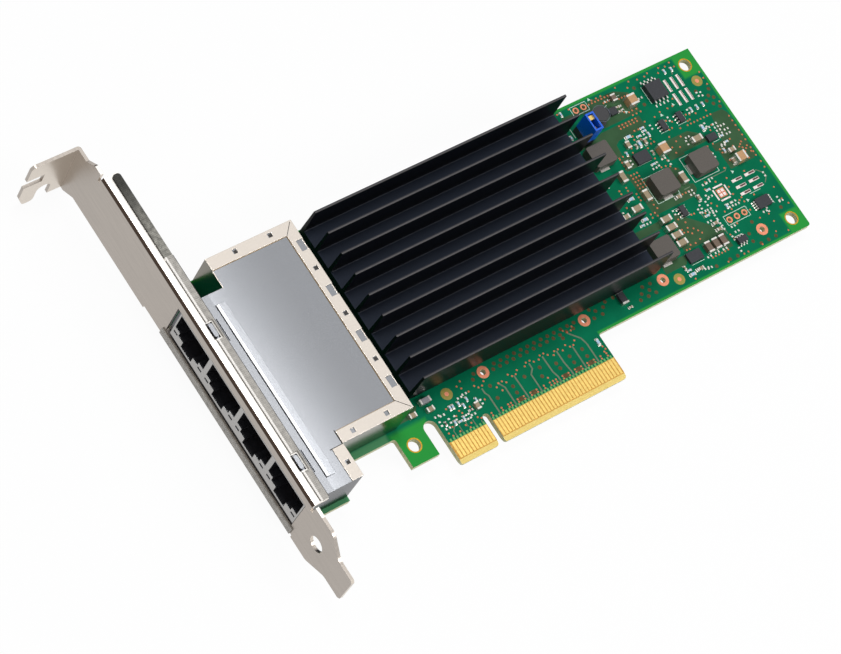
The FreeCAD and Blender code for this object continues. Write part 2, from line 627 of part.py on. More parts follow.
def make_front_shield():
    """The plated can: face with the mouths, front sides, and the top plate of both blocks."""
    body = doc.addObject("PartDesign::Body", "FrontShield")
    pad_box(body, "FrontCan",
            (JACK_FRONT, f"{D}jack_low", BOARD),
            (f"{JACK_STEP} - {SKIN}", JACK_HIGH, f"{D}jack_top"))
    pad_box(body, "FaceCan",
            (FACE, f"{D}jack_low", NOSE_BOTTOM),
            (f"{JACK_FRONT} + {SKIN}", NOSE_HIGH, NOSE_TOP))
    pad_box(body, "TopPlate",
            (f"{REAR_FRONT} + {SKIN}", f"{REAR_LOW} + {SKIN}", PLATE_FLOOR),
            (f"{JACK_REAR} - {SKIN}", f"{REAR_HIGH} - {SKIN}", f"{D}jack_top"))
    pocket_box(body, "CanHollow",
               (f"{JACK_FRONT} + {SKIN}", f"{D}jack_low + {SKIN}", BOARD),
               (f"{JACK_STEP} + 1", f"{JACK_HIGH} - {SKIN}", PLATE_FLOOR))
    # The high-Y side wall ends where the rear shield begins.
    pocket_box(body, "SideEnd",
               (REAR_FRONT, f"{JACK_HIGH} - {SKIN} - 0.01", BOARD),
               (f"{JACK_STEP} + 1", f"{JACK_HIGH} + 1", PLATE_FLOOR))
    pocket_box(body, "FaceHollow",
               (f"{FACE} + {SKIN}", f"{D}jack_low + {SKIN}", f"{NOSE_BOTTOM} + {SKIN}"),
               (f"{JACK_FRONT} + {SKIN} + 0.01", f"{NOSE_HIGH} - {SKIN}",
                f"{NOSE_TOP} - {SKIN} / 4"))
    cut_ports(body, "Mouths")
    face_slots = sketch_on(body, "YZ_Plane", "FaceSlots", FACE)
    for centre in PORTS:
        for side in ("-", "+"):
            draw_outline(face_slots, rectangle(
                f"{centre} {side} ({D}latch_wide / 2 + 0.35)", f"{LATCH_SHELF} - 0.65",
                f"{centre} {side} ({D}port_width / 2 - 0.1)", LATCH_SHELF))
    pocket(body, face_slots, "FaceSlotCut", SKIN, backwards=True)

    # A ridge with a steep front is folded up across the roof.
    ridge_high, ridge_low = f"{NOSE_HIGH} - 1.9", f"{D}jack_low + 3.5"
    ridge = sketch_on(body, "XZ_Plane", "Ridge", f"-({ridge_high})")
    left, root = f"{FACE} + {D}ridge_inset", f"{D}jack_top - {SKIN} / 2"
    draw_outline(ridge, [
        (left, root), (f"{left} + {D}ridge_width", root),
        (f"{left} + {D}ridge_width", f"{D}jack_top + 0.01"),
        (f"{left} + 0.4", f"{D}jack_top + {D}ridge_height"),
        (left, f"{D}jack_top + {D}ridge_height - 0.2")])
    pad(body, ridge, "RidgePad", f"{ridge_high} - ({ridge_low})")

    # Beside each clip two slots free a spring, and a round hole marks each end.
    slots = sketch_on(body, "XY_Plane", "SpringSlots", PLATE_FLOOR)
    for middle in clip_middles():
        for side in (5.7, 6.45):
            left = f"{FACE} + {side}"
            draw_outline(slots, rectangle(left, f"{middle} - 3", f"{left} + 0.25",
                                          f"{middle} + 3"))
        for step in ("-", "+"):
            draw_circle(slots, f"{FACE} + 6.0", f"{middle} {step} 5.35", "0.6")
    pocket(body, slots, "SpringSlotCut", SKIN, backwards=True)
    return node(body, "jack_front_shield")


def make_rear_shield():
    """The cover folded round the rear block: walls, and flaps on the top plate."""
    body = doc.addObject("PartDesign::Body", "RearShield")
    walls = sketch_on(body, "XY_Plane", "Walls", BOARD)
    front, low, step, step_low = REAR_FRONT, REAR_LOW, JACK_STEP, f"{D}jack_low"
    rear, high, shoulder = JACK_REAR, REAR_HIGH, JACK_HIGH
    draw_outline(walls, [
        (front, shoulder), (f"{front} + {SKIN}", shoulder),
        (f"{front} + {SKIN}", f"{high} - {SKIN}"), (f"{rear} - {SKIN}", f"{high} - {SKIN}"),
        (f"{rear} - {SKIN}", f"{low} + {SKIN}"), (f"{step} - {SKIN}", f"{low} + {SKIN}"),
        (f"{step} - {SKIN}", step_low), (step, step_low), (step, low), (rear, low),
        (rear, high), (front, high)])
    pad(body, walls, "WallPad", f"{D}jack_top - {BOARD}")

    flaps = sketch_on(body, "XY_Plane", "Flaps", f"{D}jack_top")
    wide = f"{D}flap_width"
    gap = f"{D}mitre_gap"
    draw_outline(flaps, [
        (front, high), (front, f"{high} - {wide}"), (f"{rear} - {wide}", f"{high} - {wide}"),
        (f"{rear} - {wide}", f"{low} + {wide}"), (step, f"{low} + {wide}"), (step, low),
        (rear, low), (rear, high)])
    draw_outline(flaps, rectangle(f"{step} - {wide}", step_low, step, f"{low} - {gap}"))
    pad(body, flaps, "FlapPad", SKIN)

    # Mitres part the flaps at the rear corners; notches at the fold free the rear flap.
    openings = sketch_on(body, "XY_Plane", "FlapOpenings", f"{D}jack_top")
    for level, turn in ((high, "-"), (low, "+")):
        draw_outline(openings, [
            (f"{rear} - 0.3 - {gap}", f"{level} {turn} 0.3"),
            (f"{rear} - 0.3", f"{level} {turn} 0.3"),
            (f"{rear} - {wide} - 0.3 + {gap}", f"{level} {turn} ({wide} + 0.3)"),
            (f"{rear} - {wide} - 0.3", f"{level} {turn} ({wide} + 0.3)")])
    side = 1.2
    for across, up in ((7.75, 1.3), (17.8, 1.3)):
        left = f"{front} + {across} - {side / 2}"
        bottom = f"{high} - {up} - {side / 2}"
        draw_outline(openings, rectangle(left, bottom, f"{left} + {side}",
                                         f"{bottom} + {side}"))
    for across in (4.0, 13.8):
        left = f"{step} + {across} - {side / 2}"
        bottom = f"{low} + 1.55 - {side / 2}"
        draw_outline(openings, rectangle(left, bottom, f"{left} + {side}",
                                         f"{bottom} + {side}"))
    left = f"{step} - ({wide} + {side}) / 2"
    bottom = f"({step_low} + {low} - {side}) / 2"
    draw_outline(openings, rectangle(left, bottom, f"{left} + {side}", f"{bottom} + {side}"))
    for index in range(PORT_COUNT):
        left = f"{rear} - 2.0"
        bottom = f"{low} + 6.3 + {index} * ({PORT_PITCH} - 0.44)"
        draw_outline(openings, rectangle(left, bottom, f"{rear} + 0.1", f"{bottom} + 3"))
    for index in range(PORT_COUNT - 1):
        left = f"{rear} - 1.4 - {side / 2}"
        bottom = f"{low} + 7.8 + {index + 0.5} * ({PORT_PITCH} - 0.44) - {side / 2}"
        draw_outline(openings, rectangle(left, bottom, f"{left} + {side}",
                                         f"{bottom} + {side}"))
    pocket(body, openings, "FlapOpeningCut", SKIN, backwards=True)
    return node(body, "jack_rear_shield")


def make_shield_clips():
    """Two clips that rise from the jack's roof through the bracket's flange and hold it."""
    clips = []
    for middle in clip_middles():
        clip = block("Clip", (f"{D}clip_thick", f"{D}clip_length",
                              f"{FLANGE_TOP} + {D}clip_stand - {D}jack_top"),
                     (f"{FACE} + {D}clip_inset - {D}clip_thick / 2",
                      f"{middle} - {D}clip_length / 2", f"{D}jack_top"))
        rounded = doc.addObject("Part::Fillet", "RoundedClip")
        rounded.Base = clip
        doc.recompute()
        rounded.Edges = [(index, 0.45, 0.45) for index, edge in enumerate(clip.Shape.Edges, 1)
                         if along(edge, Z_AXIS)]
        clips.append(rounded)
    return group("shield_clips", clips)


def make_port_contacts():
    """Eight wires a port: flat along the roof, then slanting back and down."""
    for index, centre in enumerate(PORTS, 1):
        body = doc.addObject("PartDesign::Body", f"PortContacts{index}")
        body.AllowCompound = True
        first = f"{centre} - 3.5 * {D}wire_pitch - {D}wire / 2"
        wire = sketch_on(body, "XZ_Plane", "Wire", f"-({first} + {D}wire)")
        back, roof = PORT_BACK, PORT_TOP
        draw_outline(wire, [
            (back, f"{roof} - 0.4"), (back, f"{roof} - 0.1"),
            (f"{back} - 6.8", f"{roof} - 0.1"), (f"{back} - 6.8", f"{roof} - 0.45"),
            (f"{back} - 1.6", f"{roof} - 3.6"), (f"{back} - 1.4", f"{roof} - 3.3"),
            (f"{back} - 6.2", f"{roof} - 0.4")])
        strand = pad(body, wire, "WirePad", f"{D}wire")
        repeat_along_y(body, strand, 8, f"{D}wire_pitch")
        node(body, f"port_contacts_{index}")


def make_jack_pins():
    """Square solder pins from the housing's underside through the board."""
    side = f"{D}pin_side"
    pins = []
    rows, pitch = jack_pin_rows()
    for across, first in rows:
        for index in range(PINS_PER_ROW):
            up = f"{first} + {index} * {pitch}"
            pins.append(block("JackPin", (side, side, f"{D}board_thick + {D}pin_stub"),
                              (f"{across} - {side} / 2", f"{up} - {side} / 2",
                               f"-{BOARD} - {D}pin_stub")))
    return group("jack_solder_pins", pins)


# ---------------------------------------------------------------- heatsink
def make_heatsink():
    """An extruded comb of tapered fins on four screw bosses."""
    body = doc.addObject("PartDesign::Body", "Heatsink")
    comb = sketch_on(body, "YZ_Plane", "Comb", f"{D}sink_left")
    root, crest = f"{D}fin_root", f"{D}fin_crest"
    corners = [(SINK_HIGH, SINK_BOTTOM)]
    for index in reversed(range(int(size_of("fin_count")))):
        left = f"{D}sink_low + {index} * {FIN_PITCH}"
        inset = f"({root} - {crest}) / 2"
        corners.append((f"{left} + {root}", SINK_FLOOR))
        corners.append((f"{left} + {root} - {inset}", FIN_TIP))
        corners.append((f"{left} + {inset}", FIN_TIP))
        corners.append((left, SINK_FLOOR))
    corners.append((f"{D}sink_low", SINK_BOTTOM))
    draw_outline(comb, corners)
    pad(body, comb, "CombPad", f"{D}sink_right - {D}sink_left")

    # Both ends lean towards the tail: the front one at its tips, the rear one at its foot.
    ends = sketch_on(body, "XZ_Plane", "EndDraft")
    low, high = SINK_BOTTOM, FIN_TIP
    draw_outline(ends, [(f"{D}sink_left - 1", low), (f"{D}sink_left", low),
                        (f"{D}sink_left + {D}end_draft", high), (f"{D}sink_left - 1", high)])
    draw_outline(ends, [(f"{D}sink_right - {D}end_draft", low), (f"{D}sink_right + 1", low),
                        (f"{D}sink_right + 1", high), (f"{D}sink_right", high)])
    pocket(body, ends, "EndDraftCut")

    bosses = sketch_on(body, "XY_Plane", "Bosses", BOARD)
    for across, up in sink_screw_places():
        draw_circle(bosses, across, up, f"{D}boss_diameter")
    pad(body, bosses, "BossPad", f"{SINK_BOTTOM} - {BOARD}")
    threads = sketch_on(body, "XY_Plane", "Threads", BOARD)
    for across, up in sink_screw_places():
        draw_circle(threads, across, up, f"{D}screw_shank")
    pocket(body, threads, "ThreadCut", f"{SINK_BOTTOM} - {BOARD} + {D}screw_bite",
           backwards=True)
    return node(body, "heatsink")


def make_sink_screws():
    """Screws from below, their heads under the board and their shanks in the bosses."""
    screws = []
    head_floor = f"-{BOARD} - {D}screw_head_height"
    for across, up in sink_screw_places():
        shank = post("Shank", f"{D}screw_shank / 2",
                     f"{SINK_BOTTOM} + {D}screw_bite - 0.2 + {BOARD}",
                     (across, up, f"-{BOARD}"))
        head = post("Head", f"{D}screw_head / 2", f"{D}screw_head_height",
                    (across, up, head_floor))
        cross = [block("Slot", (f"{D}screw_head * 0.55", "0.6", "0.7"),
                       (f"{across} - {D}screw_head * 0.275", f"{up} - 0.3", head_floor)),
                 block("Slot", ("0.6", f"{D}screw_head * 0.55", "0.7"),
                       (f"{across} - 0.3", f"{up} - {D}screw_head * 0.275", head_floor))]
        recess = fuse("Recess", cross)
        screws.append(cut("Screw", fuse("ScrewBlank", [shank, head]), recess))
    return group("heatsink_screws", screws)


def make_cooled_chips():
    """The two chips below the heatsink and the pads that carry their heat to it."""
    pads = []
    for label, side, place in (("controller_chip", "controller_side", "controller_place"),
                               ("bridge_chip", "bridge_side", "bridge_place")):
        body = doc.addObject("PartDesign::Body", label.title().replace("_", ""))
        half = f"{D}{side} / 2"
        pad_box(body, "Carrier", (f"{D}{place} - {half}", f"{D}chip_row - {half}", BOARD),
                (f"{D}{place} + {half}", f"{D}chip_row + {half}",
                 f"{BOARD} + {D}chip_height / 2"))
        lid = f"{half} - 1.5"
        pad_box(body, "Lid", (f"{D}{place} - ({lid})", f"{D}chip_row - ({lid})",
                              f"{BOARD} + {D}chip_height / 2"),
                (f"{D}{place} + {lid}", f"{D}chip_row + {lid}", CHIP_TOP))
        node(body, label)
        inner = f"{half} - 3"
        pads.append(block("ThermalPad", (f"2 * ({inner})", f"2 * ({inner})", f"{D}pad_thick"),
                          (f"{D}{place} - ({inner})", f"{D}chip_row - ({inner})", CHIP_TOP)))
    return group("thermal_pads", pads)


# ---------------------------------------------------------------- parts at the tail
# Moulded power inductors: their centres, and the one whose terminals point along X.
TURNED_INDUCTOR = 3
INDUCTORS = ((68.05, 52.5), (79.2, 38.9), (92.7, 39.6), (67.5, 23.6))

# Chip capacitors and resistors by case: length, width, height, terminal, and their places.
CHIP_PARTS = {
    "tall_capacitors": (3.0, 2.5, 2.5, 0.5,
                        ((85.75, 62.1, "Y"), (85.3, 47.1, "Y"), (103.6, 36.35, "X"))),
    "long_capacitors": (3.1, 1.6, 1.6, 0.5,
                        ((95.96, 45.8, "X"), (68.6, 36.3, "X"), (74.0, 30.6, "X"),
                         (74.0, 28.15, "X"), (74.0, 25.75, "X"), (74.0, 23.4, "X"),
                         (85.65, 38.25, "Y"), (73.4, 38.25, "Y"), (70.5, 45.2, "Y"))),
    "front_capacitor": (3.05, 1.4, 1.4, 0.5, ((-12.1, 17.45, "X"),)),
    "brown_capacitors": (3.0, 1.7, 1.5, 0.45,
                         ((80.1, 19.3, "Y"), (82.55, 19.3, "Y"), (84.9, 19.3, "Y"))),
    "small_brown_capacitor": (2.0, 1.5, 1.2, 0.4, ((82.1, 65.0, "Y"),)),
    "small_capacitors": (2.0, 1.25, 1.1, 0.4,
                         ((77.65, 52.2, "Y"), (74.05, 47.5, "Y"), (103.3, 39.3, "X"),
                          (-0.7, 10.7, "Y"), (-11.95, 15.1, "X"), (-16.9, 15.65, "X"),
                          (64.8, 35.7, "X"))),
    "front_diode": (3.6, 1.9, 1.1, 0.5, ((50.4, 18.0, "Y"),)),
}

# Small outline chips: body size, height, leads a side, lead pitch, reach and places.
LEADED_CHIPS = {
    "flash_chip": (4.9, 5.0, 1.7, 4, 1.27, 1.5, ((94.05, 61.9, 90),)),
    "switch_chips": (1.6, 2.9, 1.1, 3, 0.95, 0.75, ((95.85, 52.95, 0), (90.0, 52.95, 0),
                                                    (80.15, 30.6, 0), (90.1, 17.3, 90))),
    "monitor_chip": (4.3, 2.9, 1.0, 4, 0.65, 1.0, ((102.1, 23.5, 0),)),
}

# Leadless regulator chips: centre and size.
LEADLESS_CHIPS = ((79.2, 47.75, 4.4, 3.1), (100.45, 44.6, 3.0, 1.9), (75.3, 19.05, 4.4, 2.8),
                  (79.75, 61.9, 2.2, 2.0))


def make_inductors():
    """Square moulded inductors, each with two terminals folded under its body."""
    terminals = []
    long, wide, high = (f"{D}inductor_length", f"{D}inductor_width", f"{D}inductor_height")
    for index, (across, up) in enumerate(INDUCTORS, 1):
        lift = f"{BOARD} + {D}terminal_thick"
        body = doc.addObject("PartDesign::Body", f"Inductor{index}")
        pad_box(body, "Mould",
                (f"{across} - {long} / 2", f"{up} - {wide} / 2", lift),
                (f"{across} + {long} / 2", f"{up} + {wide} / 2", f"{BOARD} + {high}"))
        dress(body, "Chamfer", "Corners", "0.45", lambda edge: along(edge, Z_AXIS))
        node(body, f"power_inductor_{index}")
        reach, wide_foot, thick = (f"{D}terminal_reach", f"{D}terminal_width",
                                   f"{D}terminal_thick")
        span = f"(1.5 + {reach})"
        for side in ("-", "+"):
            if index == TURNED_INDUCTOR:
                middle = f"{across} {side} ({long} / 2 + {reach} - {span} / 2)"
                size = (span, wide_foot, thick)
                corner = (f"{middle} - {span} / 2", f"{up} - {wide_foot} / 2", BOARD)
            else:
                middle = f"{up} {side} ({wide} / 2 + {reach} - {span} / 2)"
                size = (wide_foot, span, thick)
                corner = (f"{across} - {wide_foot} / 2", f"{middle} - {span} / 2", BOARD)
            terminals.append(block("Terminal", size, corner))
    return group("inductor_terminals", terminals)


def make_drum_inductor():
    """A wound bobbin: base, waist with its winding hidden, and a round cap."""
    body = doc.addObject("PartDesign::Body", "DrumInductor")
    profile = sketch_on(body, "XZ_Plane", "Bobbin", "-61.8")
    axis, base, radius = "74.45", f"{D}drum_base / 2", f"{D}drum_top / 2"
    top = f"{BOARD} + {D}drum_height"
    draw_outline(profile, [
        (axis, BOARD), (f"{axis} + {base}", BOARD), (f"{axis} + {base}", f"{BOARD} + 0.8"),
        (f"{axis} + {radius} - 0.5", f"{BOARD} + 0.8"),
        (f"{axis} + {radius} - 0.5", f"{top} - 0.9"), (f"{axis} + {radius}", f"{top} - 0.9"),
        (f"{axis} + {radius}", top), (axis, top)])
    turned = body.newObject("PartDesign::Revolution", "BobbinTurn")
    turned.Profile = profile
    turned.Angle = 360
    line = profile.addGeometry(Part.LineSegment(Vector(0, -5, 0), Vector(0, 5, 0)), True)
    profile.addConstraint(Sketcher.Constraint("Vertical", line))
    pin_points(profile, [(line, 1, (axis, "-5"))])
    index = profile.addConstraint(Sketcher.Constraint("DistanceY", line, 1, line, 2, 10.0))
    profile.renameConstraint(index, "AxisRun")
    turned.ReferenceAxis = (profile, ["Axis0"])
    return node(body, "drum_inductor")


def make_jumper():
    """A two-pin header and the open-topped jumper cap pressed onto it."""
    x, y = JUMPER_PLACE
    side = f"{D}header_pin"
    cap_floor = f"{BOARD} + {D}header_body"
    cap_top = f"{cap_floor} + {D}jumper_height"
    pins = []
    for across, up in jumper_pin_places():
        foot = f"-{BOARD} - {D}pin_stub"
        pins.append(block("HeaderPin", (side, side, f"{cap_top} - 1.4 - ({foot})"),
                          (f"{across} - {side} / 2", f"{up} - {side} / 2", foot)))
    group("jumper_pins", pins)
    base = doc.addObject("PartDesign::Body", "JumperHeader")
    wide, long = f"{D}jumper_width / 2", f"{D}jumper_length / 2"
    pad_box(base, "HeaderBlock", (f"{x} - {wide}", f"{y} - {long}", BOARD),
            (f"{x} + {wide}", f"{y} + {long}", cap_floor))
    cap = doc.addObject("PartDesign::Body", "JumperCap")
    pad_box(cap, "CapBlock", (f"{x} - {wide}", f"{y} - {long}", cap_floor),
            (f"{x} + {wide}", f"{y} + {long}", cap_top))
    wall = f"{D}jumper_wall"
    pocket_box(cap, "CapWell", (f"{x} - {wide} + {wall}", f"{y} - {long} + {wall}",
                                f"{cap_floor} + 1"),
               (f"{x} + {wide} - {wall}", f"{y} + {long} - {wall}", f"{cap_top} + 1"))

    # The metal clip inside the cap bridges one pin and stands between the long walls.
    contact = doc.addObject("PartDesign::Body", "JumperContact")
    breadth, metal = 1.2, 0.2
    strip = sketch_on(contact, "XZ_Plane", "ContactStrip",
                      f"-({y} + {D}header_pitch / 2 + {breadth / 2})")
    outer, inner = f"({wide} - {wall})", f"({wide} - {wall} - {metal})"
    floor, roof = f"{cap_floor} + 1", f"{cap_top} - 0.5"
    draw_outline(strip, [
        (f"{x} - {outer}", floor), (f"{x} - {inner}", floor),
        (f"{x} - {inner}", f"{roof} - {metal}"), (f"{x} + {inner}", f"{roof} - {metal}"),
        (f"{x} + {inner}", floor), (f"{x} + {outer}", floor), (f"{x} + {outer}", roof),
        (f"{x} - {outer}", roof)])
    pad(contact, strip, "ContactStripPad", f"{breadth}")
    node(contact, "jumper_contact")
    for owner, name in ((base, "PinHoles"), (cap, "CapHoles")):
        holes = sketch_on(owner, "XY_Plane", name)
        for across, up in jumper_pin_places():
            draw_outline(holes, square_at(across, up, side))
        pocket(owner, holes, name + "Cut")
    node(base, "jumper_header")
    return node(cap, "jumper_cap")


def make_chip_parts():
    """Capacitors and resistors: a ceramic body between two plated ends."""
    ends = []
    for label, (long, wide, high, terminal, places) in CHIP_PARTS.items():
        bodies = []
        for across, up, axis in places:
            middle = long - 2 * terminal
            spans = (((middle, wide - 0.1, high - 0.05), 0.0),
                     ((terminal, wide, high), (long - terminal) / 2),
                     ((terminal, wide, high), (terminal - long) / 2))
            for (run, breadth, height), shift in spans:
                if axis == "X":
                    size = (run, breadth)
                    centre = (across + shift, up)
                else:
                    size = (breadth, run)
                    centre = (across, up + shift)
                item = block("ChipPart", (f"{size[0]}", f"{size[1]}", f"{height}"),
                             (f"{centre[0] - size[0] / 2:.4f}",
                              f"{centre[1] - size[1] / 2:.4f}", BOARD))
                (bodies if shift == 0.0 else ends).append(item)
        group(label, bodies)
    return group("chip_terminals", ends)


def make_lead(name, reach, height):
    """One gull-wing lead of a small outline chip, pointing along +X from the origin."""
    profile = doc.addObject("Sketcher::SketchObject", name + "Profile")
    profile.Placement = Placement(Vector(0, 0, 0), Rotation(X_AXIS, 90))
    thick = 0.15
    draw_outline(profile, [
        ("0", f"{height / 2}"), (f"{reach * 0.35}", f"{height / 2}"),
        (f"{reach * 0.5}", "0"), (f"{reach}", "0"), (f"{reach}", f"{thick}"),
        (f"{reach * 0.62}", f"{thick}"),
        (f"{reach * 0.47}", f"{height / 2 + thick}"), ("0", f"{height / 2 + thick}")])
    lead = doc.addObject("Part::Extrusion", name)
    lead.Base = profile
    lead.DirMode = "Normal"
    lead.Symmetric = True
    lead.Solid = True
    lead.LengthFwd = 0.38
    return lead


def make_leaded_chips():
    """Moulded chips with tapered tops, and all of their leads in one node."""
    leads = []
    for label, (long, wide, high, count, pitch, reach, places) in LEADED_CHIPS.items():
        bodies = []
        lead = make_lead(label.title().replace("_", "") + "Lead", reach, high)
        first = True
        for across, up, turn in places:
            size = (long, wide) if turn == 0 else (wide, long)
            bodies.append(block("ChipBody",
                                (f"{size[0]}", f"{size[1]}", f"{high - 0.1:.3f}"),
                                (f"{across - size[0] / 2:.4f}",
                                 f"{up - size[1] / 2:.4f}", f"{BOARD} + 0.1")))
            for side in (0, 180):
                for index in range(count):
                    shift = (index - (count - 1) / 2) * pitch
                    facing = Rotation(Z_AXIS, side + turn)
                    spot = facing.multVec(Vector(long / 2, shift, 0))
                    if first:
                        copy = lead
                        first = False
                    else:
                        copy = doc.addObject("App::Link", "LeadCopy")
                        copy.LinkedObject = lead
                    copy.Placement = Placement(Vector(across, up, 0) + spot, facing)
                    copy.setExpression("Placement.Base.z", BOARD)
                    leads.append(copy)
        group(label, bodies)
    group("chip_leads", leads)
    flat = [block("LeadlessChip", (f"{long}", f"{wide}", "0.9"),
                  (f"{across - long / 2:.4f}", f"{up - wide / 2:.4f}", BOARD))
            for across, up, long, wide in LEADLESS_CHIPS]
    return group("regulator_chips", flat)


# ---------------------------------------------------------------- build and write
make_board()
make_edge_contacts()
make_bracket()
make_gaskets()
make_jack_housing()
make_front_shield()
make_rear_shield()
make_shield_clips()
make_port_contacts()
make_jack_pins()
make_heatsink()
make_sink_screws()
make_cooled_chips()
make_inductors()
make_drum_inductor()
make_jumper()
make_chip_parts()
make_leaded_chips()
doc.recompute()

for item in doc.Objects:
    if "Invalid" in item.State or "Error" in item.State:
        raise RuntimeError(f"{item.Label} did not build: {item.State}")

os.makedirs("parts", exist_ok=True)
for item in NODES:
    shape = item.Shape
    if shape.isNull() or not shape.isValid() or not shape.Solids:
        raise RuntimeError(f"{item.Label} has no valid solid")
    shape.exportStep(f"parts/{item.Label}.step")
    print(f"{item.Label}: {len(shape.Solids)} solid(s), {shape.Volume:.2f} mm3")
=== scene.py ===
# Looks of the four-port network interface card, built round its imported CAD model.
# Everything is in metres in the card's own frame: X from the bracket to the tail, Y from
# the edge contacts to the far edge, Z up from the component side.  Places on the board are
# written in millimetres and scaled once, where a piece's mesh is made.
import bpy
import math
from mathutils import Euler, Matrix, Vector


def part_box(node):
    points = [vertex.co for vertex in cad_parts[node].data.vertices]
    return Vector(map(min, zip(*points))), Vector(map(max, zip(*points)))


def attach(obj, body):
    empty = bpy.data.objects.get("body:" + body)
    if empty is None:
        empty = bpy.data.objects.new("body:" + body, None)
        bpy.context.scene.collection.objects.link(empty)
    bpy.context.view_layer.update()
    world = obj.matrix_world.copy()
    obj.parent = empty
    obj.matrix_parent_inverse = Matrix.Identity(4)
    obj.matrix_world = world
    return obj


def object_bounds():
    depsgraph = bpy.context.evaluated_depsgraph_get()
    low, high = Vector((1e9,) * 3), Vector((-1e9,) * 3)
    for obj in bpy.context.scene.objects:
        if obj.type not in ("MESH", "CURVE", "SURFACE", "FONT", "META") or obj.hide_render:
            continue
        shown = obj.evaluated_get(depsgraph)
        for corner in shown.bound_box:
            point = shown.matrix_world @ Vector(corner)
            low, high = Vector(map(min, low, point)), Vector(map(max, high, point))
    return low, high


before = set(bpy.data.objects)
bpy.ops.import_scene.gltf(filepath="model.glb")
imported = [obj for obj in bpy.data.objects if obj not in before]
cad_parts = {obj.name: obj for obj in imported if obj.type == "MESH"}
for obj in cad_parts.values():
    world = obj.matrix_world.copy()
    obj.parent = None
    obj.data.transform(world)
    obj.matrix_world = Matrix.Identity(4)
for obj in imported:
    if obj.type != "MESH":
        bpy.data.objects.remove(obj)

cad_low, cad_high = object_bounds()
MM = 0.001


def box_mm(name):
    """A CAD node's lowest and highest corners, in millimetres."""
    return [[part / MM for part in corner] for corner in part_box(name)]


FACE = box_mm("jumper_header")[0][2]            # the board's upper face
BACK = -FACE                                    # the board's lower face
SUNK, DEEP = 0.01, 0.05                         # how far prints and lines reach below a face
BED = FACE - SUNK                               # the underside of the upper face's print
PLANE, TRACE, PAD, INK = 0.012, 0.02, 0.035, 0.03   # how far each layer stands above the face
RIDGE = 0.5                                     # height of the ridge on the jack's roof


def ridge_span():
    """Where the ridge on the jack's roof starts along X, and its two ends along Y."""
    corners = [v.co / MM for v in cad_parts["jack_front_shield"].data.vertices]
    top = max(corner.z for corner in corners)
    crest = [corner for corner in corners if corner.z > top - RIDGE * 0.5]
    return (min(corner.x for corner in crest), min(corner.y for corner in crest),
            max(corner.y for corner in crest))


# ---------------------------------------------------------------- shader nodes
def new_node(tree, kind, inputs=None, **settings):
    """A shader node with its settings.  Its inputs take sockets to link, or plain values."""
    node = tree.nodes.new("ShaderNode" + kind)
    for name, value in settings.items():
        setattr(node, name, value)
    for key, value in (inputs or {}).items():
        if isinstance(value, bpy.types.NodeSocket):
            tree.links.new(value, node.inputs[key])
        else:
            node.inputs[key].default_value = value
    return node


def math_node(tree, operation, *values):
    """One value from one or two sockets or plain numbers, or from a chain of more."""
    if len(values) > 2:
        values = (math_node(tree, operation, *values[:-1]), values[-1])
    return new_node(tree, "Math", dict(enumerate(values)), operation=operation).outputs[0]


def mix_colours(tree, factor, first, second):
    """Blend two colours, each a socket or a plain colour."""
    return new_node(tree, "Mix", {"Factor": factor, "A": first, "B": second},
                    data_type="RGBA").outputs["Result"]


def object_axes(tree, kind="Object"):
    """The three parts of a point's place, or of its facing, in the card's frame."""
    place = new_node(tree, "TexCoord").outputs[kind]
    return tuple(new_node(tree, "SeparateXYZ", {0: place}).outputs)


def ramp_from(tree, source, low, high):
    """From 0 at low to 1 at high, held at both ends.  Places are in millimetres."""
    ends = {"Value": source, "From Min": low * MM, "From Max": high * MM}
    return new_node(tree, "MapRange", ends).outputs["Result"]


def inside_area(tree, across, up, left, right, low, high, soft):
    """1 inside a rectangle, fading to 0 over its soft rim.  None leaves a side open."""
    rims = ((across, left, -soft), (across, right, soft), (up, low, -soft), (up, high, soft))
    sides = [ramp_from(tree, source, rim + outward, rim)
             for source, rim, outward in rims if rim is not None]
    return math_node(tree, "MINIMUM", 1.0, *sides)


def tone_ramp(tree, source, stops):
    """The colour that belongs to a value, from stops of a place and a colour."""
    ramp = new_node(tree, "ValToRGB", {"Fac": source})
    for _ in stops[2:]:
        ramp.color_ramp.elements.new(0.5)
    for element, (place, colour) in zip(ramp.color_ramp.elements, stops):
        element.position, element.color = place, colour
    return ramp.outputs["Color"]


def colour_ramp(tree, noise, dark, light):
    """Two colours over the middle of a noise's span."""
    return tone_ramp(tree, noise, ((0.35, dark), (0.65, light)))


def noise_node(tree, scale, detail=3.0, stretch=None):
    """Noise over the object's own coordinates, at features per metre, stretched if asked."""
    source = new_node(tree, "TexCoord").outputs["Object"]
    if stretch:
        source = new_node(tree, "Mapping", {"Vector": source, "Scale": stretch}).outputs[0]
    return new_node(tree, "TexNoise", {"Vector": source, "Scale": scale,
                                       "Detail": detail}).outputs["Fac"]


def seen_rays(tree):
    """1 for the rays that should find white surroundings: camera, glossy and transmission."""
    path = new_node(tree, "LightPath").outputs
    return math_node(tree, "MAXIMUM", path["Is Camera Ray"], path["Is Glossy Ray"],
                     path["Is Transmission Ray"])


# ---------------------------------------------------------------- camera, floor and light
def make_camera():
    camera_data = bpy.data.cameras.new("camera")
    camera = bpy.data.objects.new("camera", camera_data)
    bpy.context.collection.objects.link(camera)
    camera_data.type = "PERSP"
    camera_data.sensor_width = 36.0
    camera_data.lens = 142.6
    camera_data.shift_x = -0.0093
    camera_data.clip_start = 0.02
    camera_data.clip_end = 20.0
    camera.location = (-0.39337, -0.13315, 0.66919)
    camera.rotation_euler = Euler([math.radians(angle) for angle in (27.096, -18.862, -34.797)])
    bpy.context.scene.camera = camera


